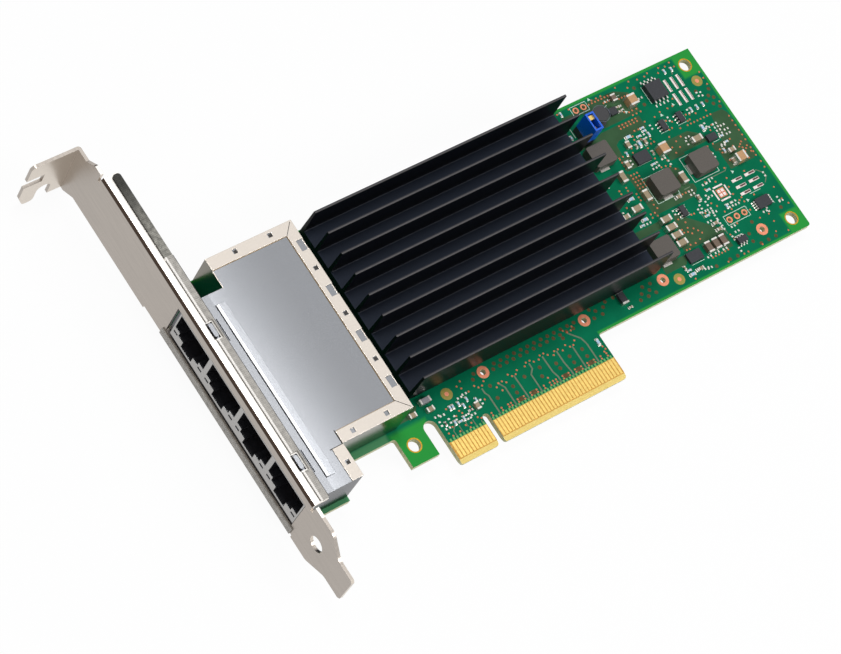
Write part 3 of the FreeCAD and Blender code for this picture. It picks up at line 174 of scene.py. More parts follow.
def make_area_light(name, place, target, size, power):
    light_data = bpy.data.lights.new(name, "AREA")
    light_data.shape = "RECTANGLE"
    light_data.size, light_data.size_y = size
    light_data.energy = power
    light = bpy.data.objects.new(name, light_data)
    bpy.context.collection.objects.link(light)
    light.location = place
    facing = Vector(target) - Vector(place)
    light.rotation_euler = facing.to_track_quat("-Z", "Y").to_euler()


def make_lights():
    centre = (0.02, 0.045, 0.0)
    make_area_light("key_softbox", (-0.02, 0.25, 0.95), centre, (0.3, 0.3), 3.2)
    make_area_light("front_softbox", (-0.75, -0.35, 0.6), centre, (0.6, 0.6), 1.2)
    make_area_light("low_softbox", (0.4, -0.55, 0.7), centre, (0.5, 0.4), 4.2)
    make_area_light("roof_softbox", (0.14, 0.12, 0.85), (-0.04, 0.03, 0), (0.16, 0.3), 0.26)
    world = bpy.data.worlds.new("studio")
    bpy.context.scene.world = world
    world.use_nodes = True
    tree = world.node_tree
    dim = tree.nodes["Background"]
    dim.inputs["Color"].default_value = (0.9, 0.93, 1.0, 1)
    dim.inputs["Strength"].default_value = 0.3
    white = new_node(tree, "Background", {"Color": (1, 1, 1, 1), "Strength": 1.0})
    mix = new_node(tree, "MixShader", {"Fac": seen_rays(tree), 1: dim.outputs[0],
                                       2: white.outputs[0]})
    tree.links.new(mix.outputs[0], tree.nodes["World Output"].inputs["Surface"])


def make_floor():
    mesh = bpy.data.meshes.new("floor")
    half, gap = 1.5, 0.0002
    level = cad_low.z - gap
    mesh.from_pydata([(-half, -half, level), (half, -half, level), (half, half, level),
                      (-half, half, level)], [], [(0, 1, 2, 3)])
    floor = bpy.data.objects.new("floor", mesh)
    bpy.context.collection.objects.link(floor)
    material = bpy.data.materials.new("pale_floor")
    material.use_nodes = True
    tree = material.node_tree
    shader = tree.nodes["Principled BSDF"]
    shader.inputs["Base Color"].default_value = (0.9, 0.9, 0.9, 1)
    shader.inputs["Roughness"].default_value = 0.9
    glow = new_node(tree, "Emission")
    share = math_node(tree, "MULTIPLY", seen_rays(tree), 0.95)
    mix = new_node(tree, "MixShader", {"Fac": share, 1: shader.outputs[0],
                                       2: glow.outputs[0]})
    tree.links.new(mix.outputs[0], tree.nodes["Material Output"].inputs["Surface"])
    mesh.materials.append(material)


# ---------------------------------------------------------------- materials
def srgb(*parts):
    """A display colour of 0 to 255 as the linear colour that a shader takes."""
    shares = [part / 255.0 for part in parts]
    return (*[share / 12.92 if share <= 0.04045 else ((share + 0.055) / 1.055) ** 2.4
              for share in shares], 1.0)


def shade(colour, factor):
    return (*[min(part * factor, 1.0) for part in colour[:3]], 1.0)


def surface(name, colour, roughness, metallic=0.0, mottle=0.06, scale=900, stretch=None,
            spread=0.08, grain=0.0, grain_scale=9000, edge=0.0, **sockets):
    """A procedural surface: mottled colour, uneven gloss, fine grain and rounded edges."""
    material = bpy.data.materials.new(name)
    material.use_nodes = True
    tree = material.node_tree
    shader = tree.nodes["Principled BSDF"]
    shader.inputs["Metallic"].default_value = metallic
    for socket, value in sockets.items():
        shader.inputs[socket.replace("_", " ")].default_value = value
    noise = noise_node(tree, scale, stretch=stretch)
    base = srgb(*colour)
    tree.links.new(colour_ramp(tree, noise, shade(base, 1 - mottle), shade(base, 1 + mottle)),
                   shader.inputs["Base Color"])
    gloss = new_node(tree, "MapRange", {"Value": noise, "To Min": roughness - spread,
                                        "To Max": roughness + spread})
    tree.links.new(gloss.outputs["Result"], shader.inputs["Roughness"])
    normal = None
    if edge:
        normal = new_node(tree, "Bevel", {"Radius": edge * MM}, samples=4).outputs["Normal"]
    if grain:
        bump = {"Distance": grain * MM,
                "Height": noise_node(tree, grain_scale, detail=4.0, stretch=stretch)}
        if normal:
            bump["Normal"] = normal
        normal = new_node(tree, "Bump", bump).outputs["Normal"]
    if normal:
        tree.links.new(normal, shader.inputs["Normal"])
    return material


def colour_so_far(material):
    """A material's tree, the colour it has so far, and the input that the colour goes into."""
    tree = material.node_tree
    entry = tree.nodes["Principled BSDF"].inputs["Base Color"]
    return tree, entry.links[0].from_socket, entry


def make_board_material():
    """Solder mask on the faces, bare laminate on the tongues, and sawn fibre on the edges."""
    material = surface("solder_mask", (4, 108, 74), 0.34, mottle=0.07, scale=160,
                       grain=0.003, grain_scale=5000, Specular_IOR_Level=0.05)
    tree, mask, entry = colour_so_far(material)
    across, up, _ = object_axes(tree)
    facing = object_axes(tree, "Normal")[2]
    right, top = box_mm("circuit_board")[1][:2]
    # The tongues have no mask: the bare area's top and left side, and the top of their bevels.
    bare_top, bare_left, bevel_top = 5.95, -13.0, 1.25
    # Copper stops short of the board's rim, and there the mask looks lighter and yellower.
    # Each area is its left, right, low and high sides, and how soft its rim is.
    bare_areas = (
        (right - 0.5, None, None, None, 0.5), (None, None, top - 0.5, None, 0.5),
        (39.5, None, None, 13.2, 0.4), (104.8, None, None, 18.4, 0.7),
        (104.8, None, 62.0, None, 0.7), (-24.5, -14.8, None, 13.4, 1.2))
    vivid = math_node(tree, "MAXIMUM", *[inside_area(tree, across, up, *area)
                                         for area in bare_areas])
    mask = mix_colours(tree, vivid, mask, srgb(44, 150, 62))
    # The strip below the jack is lit from under the board's edge, and looks paler.
    pale = inside_area(tree, across, up, None, -26.0, None, 14.2, 0.9)
    mask = mix_colours(tree, pale, mask, srgb(84, 150, 104))
    fibre = noise_node(tree, 1500, stretch=(1, 1, 8))
    gap = colour_ramp(tree, fibre, srgb(198, 146, 66), srgb(222, 174, 92))
    bevel = colour_ramp(tree, fibre, srgb(230, 202, 116), srgb(242, 216, 132))
    sawn = colour_ramp(tree, fibre, srgb(168, 170, 122), srgb(222, 218, 182))
    tongue = mix_colours(tree, math_node(tree, "LESS_THAN", up, bevel_top * MM), gap, bevel)
    bare = math_node(tree, "MULTIPLY", math_node(tree, "LESS_THAN", up, bare_top * MM),
                     math_node(tree, "GREATER_THAN", across, bare_left * MM))
    side = math_node(tree, "LESS_THAN", math_node(tree, "ABSOLUTE", facing), 0.2)
    covered = mix_colours(tree, bare, mask, tongue)
    tree.links.new(mix_colours(tree, side, covered, sawn), entry)
    return material


def make_bracket_material():
    """Nickel on folded sheet: satin face, painted highlight on the flange, painted shade in the
    fold.
    """
    face, fold = (172, 164, 156), (70, 58, 50)
    material = surface("bracket_nickel", face, 0.32, metallic=1.0, mottle=0.05, scale=2500,
                       stretch=(1, 0.05, 1), spread=0.06, grain=0.0015, grain_scale=6000)
    tree, plain, entry = colour_so_far(material)
    _, turn, rise = object_axes(tree, "Normal")
    _, up, height = object_axes(tree)
    # Painted shade and highlight, by how far the sheet has turned from the face to the flange:
    # the fold is painted dark, and the flange is painted light.
    tone = tone_ramp(tree, rise, [(place, srgb(*colour)) for place, colour in (
        (0.0, face), (0.06, face), (0.12, fold), (0.9, fold), (0.97, (230, 227, 222)),
        (1.0, (226, 223, 218)))])
    low, high = box_mm("upper_gasket")
    flange = inside_area(tree, None, up, None, None, box_mm("lower_gasket")[0][1] - 4,
                         high[1] + 4, 0.1)
    folded = math_node(tree, "MULTIPLY", flange, math_node(tree, "GREATER_THAN", rise, 0.05),
                       math_node(tree, "GREATER_THAN", height, (low[2] - 2) * MM))
    # Painted light: faces turned across Y, as on the ear, are painted a lighter tone.
    ear = math_node(tree, "GREATER_THAN", math_node(tree, "ABSOLUTE", turn), 0.7)
    plain = mix_colours(tree, ear, plain, srgb(214, 204, 192))
    tree.links.new(mix_colours(tree, folded, plain, tone), entry)
    return material


def bend_roof(material):
    """Shade the roof as if the sheet dipped gently towards the ridge pressed into it."""
    tree = material.node_tree
    entry = tree.nodes["Principled BSDF"].inputs["Normal"]
    place, _, height = object_axes(tree)
    ridge = ridge_span()[0]
    roof = box_mm("jack_front_shield")[1][2] - RIDGE + 0.012
    # The ridge's own slope, the rise in front of it, and the sag behind it.
    slope = math_node(tree, "MULTIPLY", ramp_from(tree, place, ridge, ridge + 2.8), 0.64 * MM,
                      math_node(tree, "GREATER_THAN", height, roof * MM))
    lead = math_node(tree, "MULTIPLY", ramp_from(tree, place, ridge - 8.0, ridge), 0.5 * MM)
    fall = math_node(tree, "SUBTRACT", 1.0, ramp_from(tree, place, ridge, ridge + 19.0))
    sag = math_node(tree, "MULTIPLY", fall, fall, 0.85 * MM)
    shape = math_node(tree, "SUBTRACT", math_node(tree, "ADD", slope, lead), sag)
    bump = new_node(tree, "Bump", {"Distance": 1.0, "Height": shape,
                                   "Normal": entry.links[0].from_socket})
    tree.links.new(bump.outputs["Normal"], entry)


def make_sheet_material(name, top, wall_shade, roughness, mottle, face=None, side=None):
    """Plated sheet of the jack's cans: its walls, which face the dark side, are painted a deeper
    shade, painted shade, and so are faces turned forward.

    On the front can, the face round the port mouths is painted a lighter tone, painted light,
    and its low side is painted a dark shade."""
    material = surface(name, top, roughness, metallic=1.0, mottle=mottle, scale=4200,
                       spread=0.05, grain=0.0012, grain_scale=8000, edge=0.15)
    tree, plain, entry = colour_so_far(material)
    forward, low_side, rise = object_axes(tree, "Normal")
    upright = math_node(tree, "LESS_THAN", math_node(tree, "ABSOLUTE", rise), 0.5)
    across = math_node(tree, "GREATER_THAN", math_node(tree, "ABSOLUTE", low_side), 0.5)
    front = math_node(tree, "LESS_THAN", forward, -0.5)
    # Painted shade on walls turned across Y and on faces turned forward.
    darker = math_node(tree, "MAXIMUM", math_node(tree, "MULTIPLY", upright, across), front)
    sheet = mix_colours(tree, darker, plain, srgb(*wall_shade))
    # Painted shade on the low side.
    if side:
        low = math_node(tree, "LESS_THAN", low_side, -0.5)
        sheet = mix_colours(tree, low, sheet, srgb(*side))
    # Painted light: a lighter tone on the face round the port mouths.
    if face:
        mouth_plane = (box_mm("jack_front_shield")[0][0] + 0.6) * MM
        near = math_node(tree, "LESS_THAN", object_axes(tree)[0], mouth_plane)
        mouth_painted_light = math_node(tree, "MULTIPLY", front, near)
        sheet = mix_colours(tree, mouth_painted_light, sheet, srgb(*face))
    tree.links.new(sheet, entry)
    return material


def make_can_material():
    # Painted tones: shade on the walls and the low side, light on the face round the port
    # mouths.
    material = make_sheet_material("can_nickel", (142, 144, 148), (104, 106, 114), 0.25, 0.05,
                                   face=(164, 162, 160), side=(40, 43, 52))
    bend_roof(material)
    return material


def make_anodised_material():
    """Black anodising: deep blue-black walls, and painted light on the upward faces:
    blue-grey floors, and a grey painted highlight along the crests.
    """
    material = surface("black_anodised", (7, 8, 12), 0.34, mottle=0.12, scale=700,
                       stretch=(0.04, 1, 1), spread=0.06, grain=0.002, grain_scale=6000,
                       Specular_IOR_Level=0.1)
    tree, black, entry = colour_so_far(material)
    height = object_axes(tree)[2]
    top = box_mm("heatsink")[1][2]
    # Painted light: faces turned up are painted blue-grey, with a grey highlight near the top.
    level = math_node(tree, "GREATER_THAN", object_axes(tree, "Normal")[2], 0.5)
    crest = math_node(tree, "MULTIPLY", level, ramp_from(tree, height, top - 0.2, top - 0.1))
    floor = mix_colours(tree, level, black, srgb(38, 45, 58))
    tree.links.new(mix_colours(tree, crest, floor, srgb(58, 57, 60)), entry)
    return material


def make_gasket_material(name, colour, mottle, dark_end=None):
    """Woven metallised cloth over foam: crossed threads and grey and beige patches.

    One strip goes dark towards its far end; the other has a pale band beside the fold."""
    material = surface(name, colour, 0.6, metallic=0.3, mottle=mottle, spread=0.1)
    tree, woven, entry = colour_so_far(material)
    place = new_node(tree, "TexCoord").outputs["Object"]
    waves = [new_node(tree, "TexWave", {"Vector": place, "Scale": 700, "Distortion": 1.5},
                      bands_direction=axis).outputs["Fac"] for axis in ("X", "Y")]
    bump = new_node(tree, "Bump", {"Distance": 0.05 * MM,
                                   "Height": math_node(tree, "ADD", *waves)})
    tree.links.new(bump.outputs["Normal"], tree.nodes["Principled BSDF"].inputs["Normal"])
    across, up, _ = object_axes(tree)
    if dark_end:
        low, high = (corner[1] for corner in box_mm("upper_gasket"))
        share = ramp_from(tree, up, low + 0.2 * (high - low), high - 0.12 * (high - low))
        other = colour_ramp(tree, noise_node(tree, 1600), shade(srgb(*dark_end), 0.6),
                            shade(srgb(*dark_end), 1.5))
    else:
        near = box_mm("jack_gasket")[0][0]
        share = inside_area(tree, across, up, near - 1.0, near + 0.42, None, None, 0.08)
        other = srgb(238, 234, 228)
    tree.links.new(mix_colours(tree, share, woven, other), entry)
    return material


def make_materials():
    return {
        "board": make_board_material(),
        "mask_copper": surface("mask_over_copper", (60, 92, 62), 0.34, mottle=0.08, scale=300,
                               Specular_IOR_Level=0.05),
        "mask_trace": surface("mask_over_trace", (112, 126, 104), 0.34, mottle=0.08,
                              Specular_IOR_Level=0.05),
        "mask_via": surface("mask_over_via", (96, 78, 50), 0.45, mottle=0.2, scale=1500,
                            Specular_IOR_Level=0.1),
        "mask_light": surface("mask_thin", (96, 168, 92), 0.35, mottle=0.12, scale=1500),
        "copper": surface("bare_copper", (214, 124, 88), 0.38, metallic=0.2, mottle=0.12,
                          scale=2600, Specular_IOR_Level=0.2),
        "ring": surface("ring_copper", (236, 148, 112), 0.36, metallic=0.3, scale=1800),
        "dull_gold": surface("masked_test_pad", (150, 138, 62), 0.4, metallic=0.3, scale=1800),
        "gold": surface("contact_gold", (236, 203, 118), 0.3, metallic=1.0, mottle=0.05,
                        scale=1200, grain=0.0008, grain_scale=5000),
        "gold_ring": surface("plated_ring", (196, 150, 44), 0.3, metallic=0.8, mottle=0.1,
                             scale=1500),
        "wire": surface("spring_wire", (196, 134, 84), 0.25, metallic=1.0, mottle=0.05,
                        scale=3000, stretch=(0.05, 1, 1), spread=0.06, grain=0.0015,
                        grain_scale=6000, edge=0.18),
        "tin": surface("solder_tin", (220, 216, 210), 0.32, metallic=0.85, mottle=0.14,
                       scale=3500, spread=0.12, grain=0.01, grain_scale=4000),
        "pink_tin": surface("thin_solder", (236, 222, 218), 0.34, metallic=0.6, mottle=0.16,
                            scale=2500, grain=0.01, grain_scale=3000),
        "pad_shade": surface("pad_reflection", (96, 66, 60), 0.4, metallic=0.3, mottle=0.15),
        "silk": surface("silkscreen_ink", (196, 222, 206), 0.6, mottle=0.1, scale=4000),
        "bracket": make_bracket_material(),
        "can": make_can_material(),
        # The cover's walls take a painted shade tone.
        "cover": make_sheet_material("cover_tin", (222, 213, 203), (128, 124, 116), 0.2, 0.03),
        "seam": surface("seam_shadow", (38, 33, 28), 0.6, mottle=0.1),
        "burr": surface("sheared_edge", (150, 126, 92), 0.4, metallic=0.6, mottle=0.1),
        # Painted highlight for the fins' crests.
        "crest": surface("crest_painted_highlight", (66, 64, 64), 0.4, mottle=0.12, scale=500),
        # Near-white painted highlight for the ridge's crest.
        "bright": surface("ridge_painted_highlight", (250, 250, 250), 0.3, metallic=1.0, mottle=0.03),
        "root": surface("fin_root_glint", (74, 78, 88), 0.4, mottle=0.12, scale=500),
        "gasket": make_gasket_material("gasket_weave", (168, 164, 157), 0.16),
        "gasket_dark": make_gasket_material("dark_ended_gasket_weave", (136, 134, 126), 0.4,
                                            dark_end=(40, 39, 34)),
        "jack_plastic": surface("jack_moulding", (26, 26, 30), 0.42, mottle=0.15, scale=1200,
                                grain=0.006, edge=0.1),
        "anodised": make_anodised_material(),
        "chip": surface("chip_moulding", (50, 51, 55), 0.5, mottle=0.1, scale=2200,
                        grain=0.008, edge=0.08, Specular_IOR_Level=0.3),
        "compound": surface("thermal_compound", (150, 152, 156), 0.7, mottle=0.08, scale=1500,
                            grain=0.02),
        "powder": surface("pressed_powder", (80, 74, 68), 0.55, mottle=0.1, scale=3200,
                          grain=0.02, edge=0.12),
        "drum": surface("drum_ferrite", (44, 44, 46), 0.4, mottle=0.1, scale=2500,
                        grain=0.015, edge=0.1),
        "blue": surface("blue_moulding", (4, 96, 220), 0.3, mottle=0.05, scale=1500,
                        edge=0.12, Coat_Weight=0.2),
        "tan": surface("capacitor_ceramic", (156, 139, 112), 0.35, mottle=0.07, scale=3000,
                       edge=0.08),
        "orange": surface("large_capacitor_ceramic", (188, 147, 104), 0.36, scale=2600,
                          edge=0.1),
        "brown": surface("brown_ceramic", (108, 91, 76), 0.36, mottle=0.07, scale=3000,
                         edge=0.08),
        "grey_glass": surface("grey_ceramic", (150, 148, 152), 0.35, mottle=0.08, scale=3000,
                              edge=0.08),
        "blue_white": surface("resistor_glass", (176, 205, 226), 0.35, mottle=0.1,
                              scale=5000),
    }


LOOKS = make_materials()


# ---------------------------------------------------------------- mesh building
def circle(x, y, across, sides):
    """The corners of a round outline."""
    turns = [2 * math.pi * i / sides for i in range(sides)]
    return [(x + across / 2 * math.cos(turn), y + across / 2 * math.sin(turn))
            for turn in turns]


class Shape:
    """Closed forms gathered into one mesh, in millimetres."""

    def __init__(self):
        self.points = []
        self.faces = []

    def rings(self, levels):
        """Skin a stack of outlines, each a list of points of equal count, and close it."""
        start, count = len(self.points), len(levels[0])
        for level in levels:
            self.points.extend(level)
        for layer in range(len(levels) - 1):
            low, high = start + layer * count, start + (layer + 1) * count
            for index in range(count):
                after = (index + 1) % count
                self.faces.append((low + index, low + after, high + after, high + index))
        self.faces.append(tuple(range(start + count - 1, start - 1, -1)))
        self.faces.append(tuple(start + (len(levels) - 1) * count + i for i in range(count)))

    def slab(self, outline, low, high, bevel=0.0):
        """An upright prism, with its upper rim drawn in by a bevel."""
        levels = [(outline, low), (outline, high - bevel)]
        if bevel:
            cx = sum(x for x, _ in outline) / len(outline)
            cy = sum(y for _, y in outline) / len(outline)
            levels.append(([(x - math.copysign(min(bevel, abs(x - cx)), x - cx),
                             y - math.copysign(min(bevel, abs(y - cy)), y - cy))
                            for x, y in outline], high))
        self.rings([[(x, y, level) for x, y in ring] for ring, level in levels])

    def box(self, x, y, long, wide, low, high, bevel=0.0):
        a, b = long / 2, wide / 2
        self.slab([(x - a, y - b), (x + a, y - b), (x + a, y + b), (x - a, y + b)],
                  low, high, bevel)

    def disc(self, x, y, diameter, low, high, sides=12):
        self.slab(circle(x, y, diameter, sides), low, high)

    def washer(self, x, y, outer, inner, low, high, sides=32):
        """A flat ring with a round hole."""
        start = len(self.points)
        for across, level in ((outer, low), (outer, high), (inner, high), (inner, low)):
            self.points += [(*corner, level) for corner in circle(x, y, across, sides)]
        for ring in range(4):
            here, there = start + ring * sides, start + (ring + 1) % 4 * sides
            for i in range(sides):
                after = (i + 1) % sides
                self.faces.append((here + i, here + after, there + after, there + i))

    def strip(self, route, width, low, high):
        """A flat band of even width along a route of points."""
        left, right = [], []
        step = width / 2
        for index, (x, y) in enumerate(route):
            before, after = route[max(index - 1, 0)], route[min(index + 1, len(route) - 1)]
            run = Vector((after[0] - before[0], after[1] - before[1])).normalized()
            left.append((x - run.y * step, y + run.x * step))
            right.append((x + run.y * step, y - run.x * step))
        for index in range(len(route) - 1):
            self.slab([left[index], right[index], right[index + 1], left[index + 1]],
                      low, high)

    def wedge(self, x, y, facing, run, width, low, high):
        """A solder fillet: high against a part's end, and down to a thin toe at its run."""
        fx, fy = facing
        profile = [(0.0, low), (run, low), (run, low + (high - low) * 0.08),
                   (run * 0.45, low + (high - low) * 0.35), (run * 0.12, high), (0.0, high)]
        self.rings([[(x + fx * d - fy * half, y + fy * d + fx * half, z) for d, z in profile]
                    for half in (width / 2, -width / 2)])


def make_piece(name, shape, look):
    mesh = bpy.data.meshes.new(name)
    mesh.from_pydata([(x * MM, y * MM, z * MM) for x, y, z in shape.points], [], shape.faces)
    mesh.validate()
    mesh.update()
    mesh.materials.append(LOOKS[look])
    piece = bpy.data.objects.new(name, mesh)
    bpy.context.collection.objects.link(piece)
    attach(piece, "root")


# ---------------------------------------------------------------- finish of the CAD nodes
FINISHES = {
    "board": "circuit_board",
    "gold": "edge_contacts jumper_pins jumper_contact",
    "bracket": "io_bracket",
    "gasket_dark": "upper_gasket",
    "gasket": "jack_gasket lower_gasket",
    "jack_plastic": "jack_housing",
    "can": "jack_front_shield shield_clips",
    "cover": "jack_rear_shield",
    "wire": "port_contacts_1 port_contacts_2 port_contacts_3 port_contacts_4",
    "tin": "jack_solder_pins heatsink_screws inductor_terminals chip_terminals chip_leads",
    "anodised": "heatsink",
    "compound": "thermal_pads",
    "powder": "power_inductor_1 power_inductor_2 power_inductor_3 power_inductor_4",
    "drum": "drum_inductor",
    "blue": "jumper_cap",
    "orange": "tall_capacitors",
    "tan": "long_capacitors small_capacitors",
    "brown": "brown_capacitors small_brown_capacitor",
    "grey_glass": "front_capacitor",
    "chip": "controller_chip bridge_chip jumper_header front_diode flash_chip switch_chips "
            "monitor_chip regulator_chips"}


def finish_nodes():
    finish_of = {name: look for look, names in FINISHES.items() for name in names.split()}
    for name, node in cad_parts.items():
        for material_slot in node.material_slots:
            material_slot.material = LOOKS[finish_of[name]]


# ---------------------------------------------------------------- the board's print
def make_copper_planes():
    """Wide copper under the mask, which gives it an olive tone."""
    copper = Shape()
    for outline in (
            [(73.4, 50.4), (74.9, 50.4), (75.2, 53.6), (76.6, 54.4), (86.0, 54.6), (86.0, 58.2),
             (73.4, 58.2), (70.5, 57.2), (64.8, 57.2), (64.8, 56.2), (72.2, 56.2)],
            [(75.0, 58.9), (82.0, 58.9), (87.2, 59.2), (87.4, 64.8), (83.6, 66.8),
             (75.0, 67.0), (72.2, 65.6), (72.0, 61.0)],
            [(86.3, 43.8), (91.0, 43.8), (91.0, 44.4), (99.0, 44.4), (99.0, 46.6),
             (95.6, 49.0), (86.3, 49.0)],
            [(99.4, 42.8), (103.0, 42.8), (104.8, 50.4), (108.6, 50.2), (109.4, 48.8),
             (109.4, 36.0), (108.2, 35.0), (100.2, 35.0), (100.2, 40.6), (99.4, 41.0)],
            [(77.6, 31.4), (87.8, 21.9), (87.8, 21.2), (74.0, 21.2), (74.0, 22.4)],
            [(72.6, 32.9), (86.4, 32.9), (88.0, 34.4), (88.0, 36.0), (86.9, 36.4),
             (86.9, 41.4), (84.0, 42.8), (76.0, 42.8), (73.0, 45.8), (72.6, 45.8)],
            [(65.6, 18.2), (72.4, 18.2), (73.2, 19.4), (73.2, 20.6), (65.6, 20.6)],
            [(73.3, 46.2), (77.0, 46.2), (77.0, 49.8), (73.3, 49.8)],
            [(64.8, 29.2), (72.4, 29.2), (72.4, 31.2), (64.8, 31.2)],
            [(65.8, 64.8), (72.2, 64.8), (72.2, 66.0), (65.8, 66.0)],
            [(84.6, 17.0), (87.2, 17.0), (87.2, 21.4), (84.6, 21.4)],
            [(-22.0, 15.3), (-16.0, 15.3), (-14.2, 17.6), (-22.0, 17.6)]):
        copper.slab(outline, BED, FACE + PLANE)
    make_piece("copper_planes", copper, "mask_copper")


def make_traces():
    """The bus traces that rise from the edge contacts, thinner ones, and the contacts' necks."""
    bus, thin, foot = 0.42, 0.24, 6.4           # the traces' widths, and where the bus ones end
    traces = Shape()
    for route in (
            [(3.3, 14.0), (3.3, 12.7), (3.8, 11.7), (3.8, foot)],
            [(7.9, 13.3), (8.85, 11.7), (8.85, foot)],
            [(12.7, 13.2), (12.8, foot)],
            [(18.1, 14.2), (18.1, 12.7), (16.9, 11.5), (16.9, foot)],
            [(22.3, 14.2), (22.4, 9.6), (22.9, 8.1), (22.9, foot)],
            [(26.5, 13.8), (26.5, 10.4), (26.9, 7.7), (26.9, foot)],
            [(31.0, 13.1), (31.0, foot)],
            [(31.9, 16.5), (34.4, 13.8), (34.9, 11.9), (34.9, foot)]):
        traces.strip(route, bus, BED, FACE + TRACE)
    for route in (
            [(104.4, 31.9), (106.4, 31.9), (107.9, 30.4), (107.9, 29.2), (106.6, 27.9)],
            [(92.8, 35.3), (98.4, 35.3), (99.2, 36.0)],
            [(-9.5, 6.6), (-9.5, 8.0), (-8.4, 9.2)], [(-7.5, 6.6), (-7.5, 8.6)],
            [(-5.5, 7.4), (-5.5, 8.8)], [(-3.5, 6.6), (-3.5, 8.4)], [(-1.6, 6.6), (-1.6, 7.2)],
            [(84.7, 29.2), (84.7, 26.6)], [(87.9, 20.4), (87.9, 22.6)],
            [(84.6, 35.6), (86.6, 35.6)], [(101.9, 64.2), (102.6, 64.9)]):
        traces.strip(route, thin, BED, FACE + TRACE)
    make_piece("bus_traces", traces, "mask_trace")
    stubs = Shape()
    neck, wide, long = 6.3, 0.5, 0.85           # the necks' middle and size
    for first, count in ((-11.5, 11), (1.5, 38)):
        for index in range(count):
            stubs.box(first + index, neck, wide, long, BED, FACE + TRACE)
    make_piece("contact_necks", stubs, "mask_light")


TOOLING = (6.07, 38.0, 63.76, 97.4)             # the tooling holes, from front to tail
# Open vias by place: single ones, and rows as (x, y, count, step along X, step along Y).
VIA_SPOTS = (
    (1.9, 15.4), (2.7, 14.6), (3.8, 14.6), (4.8, 15.4), (6.9, 12.6), (7.9, 13.3), (9.0, 13.3),
    (9.9, 12.6), (7.8, 11.3), (11.4, 14.1), (12.2, 13.3), (13.35, 13.3), (14.2, 14.1),
    (16.65, 14.0), (17.5, 14.7), (18.65, 14.7), (19.5, 14.0), (21.0, 13.9), (21.85, 14.7),
    (23.0, 14.7), (23.85, 13.9), (25.2, 13.2), (25.96, 14.0), (27.1, 14.0), (28.1, 13.2),
    (29.5, 14.1), (30.4, 13.2), (31.5, 13.2), (32.4, 14.1), (31.2, 17.5), (32.0, 16.7),
    (33.2, 16.7), (34.0, 17.5), (20.3, 8.9), (-2.2, 17.2), (-1.4, 16.3), (-0.7, 18.0),
    (38.2, 9.6), (38.5, 8.7), (37.8, 8.2), (69.3, 67.4), (65.5, 67.4), (84.8, 67.4),
    (89.3, 67.4), (95.6, 67.3), (99.4, 67.3), (103.2, 67.4), (91.9, 66.9), (94.3, 66.8),
    (98.5, 66.1), (103.8, 65.9), (88.0, 66.0), (101.4, 66.9), (84.6, 58.9), (85.8, 58.9),
    (87.2, 58.9), (84.1, 60.0), (85.2, 60.1), (86.6, 60.0), (82.9, 60.6), (92.0, 56.6),
    (94.6, 56.6), (96.3, 56.6), (89.8, 56.0), (86.4, 56.0), (97.6, 58.3), (109.4, 61.7),
    (109.4, 59.8), (109.3, 57.9), (109.3, 52.3), (91.3, 51.3), (92.3, 51.4), (97.6, 51.3),
    (98.4, 51.4), (104.2, 51.7), (101.0, 52.2), (94.4, 50.4), (91.0, 47.8), (93.0, 48.4),
    (91.0, 46.0), (89.0, 45.1), (88.9, 46.8), (90.0, 49.6), (85.3, 50.2), (84.2, 50.1),
    (82.6, 49.4), (82.6, 46.2), (84.5, 45.2), (85.4, 44.3), (84.0, 43.2), (82.7, 43.4),
    (85.1, 42.6), (86.0, 41.4), (76.2, 49.8), (78.0, 50.0), (82.2, 55.0), (83.5, 54.9),
    (80.8, 53.9), (82.4, 52.3), (84.9, 51.3), (80.6, 52.9), (78.4, 51.2), (92.0, 53.8),
    (93.4, 52.9), (97.9, 54.0), (99.2, 52.7), (68.0, 42.6), (70.3, 42.6), (68.0, 41.7),
    (70.2, 41.7), (71.8, 39.0), (71.8, 38.1), (71.8, 40.0), (67.0, 37.9), (73.4, 32.6),
    (73.2, 33.6), (74.6, 36.9), (74.6, 34.4), (74.3, 35.6), (71.8, 32.7), (71.9, 33.7),
    (79.2, 27.9), (78.8, 26.4), (80.2, 25.6), (81.0, 24.6), (81.6, 23.6), (79.0, 24.6),
    (80.0, 22.4), (78.2, 22.0), (76.6, 22.2), (74.8, 21.4), (75.7, 21.3), (78.2, 25.4),
    (77.0, 26.6), (76.6, 28.4), (77.9, 29.4), (82.0, 29.0), (82.9, 28.9), (85.8, 27.7),
    (89.0, 29.3), (90.0, 28.0), (91.0, 25.8), (92.1, 21.7), (97.8, 27.2), (97.8, 25.9),
    (97.8, 23.3), (101.5, 26.4), (108.0, 25.8), (107.9, 22.2), (108.9, 20.4), (101.9, 20.2),
    (98.9, 20.3), (96.2, 28.9), (96.4, 31.1), (96.8, 26.8), (93.2, 25.6), (100.8, 40.9),
    (100.9, 39.8), (101.4, 37.2), (102.1, 40.6), (107.0, 37.5), (107.0, 38.7), (107.8, 38.1),
    (108.5, 38.7), (108.6, 36.9), (106.8, 35.6), (103.2, 41.9), (105.2, 42.2), (104.8, 40.2),
    (100.0, 43.0), (98.1, 43.0), (98.0, 41.2), (101.8, 46.5), (103.0, 47.6), (88.6, 13.9),
    (90.0, 13.9), (94.9, 13.9), (104.0, 14.1), (101.9, 17.9), (100.6, 15.3), (72.1, 13.9),
    (83.2, 13.9), (88.4, 19.9), (88.6, 18.4), (91.2, 34.9), (93.9, 33.8), (97.4, 33.4),
    (98.6, 36.0), (89.9, 33.2), (103.2, 33.0), (109.3, 33.4), (109.2, 31.6), (-8.0, 13.5),
    (-0.2, 14.8), (-2.0, 8.3), (-1.2, 7.7), (-5.9, 7.9), (-4.3, 7.8), (-5.1, 6.9),
    (-8.1, 7.2), (-10.3, 7.0), (-11.0, 8.0), (-9.2, 9.0), (-6.7, 10.9), (-5.3, 11.7),
    (-4.9, 10.9), (-2.2, 11.4), (2.3, 11.3))
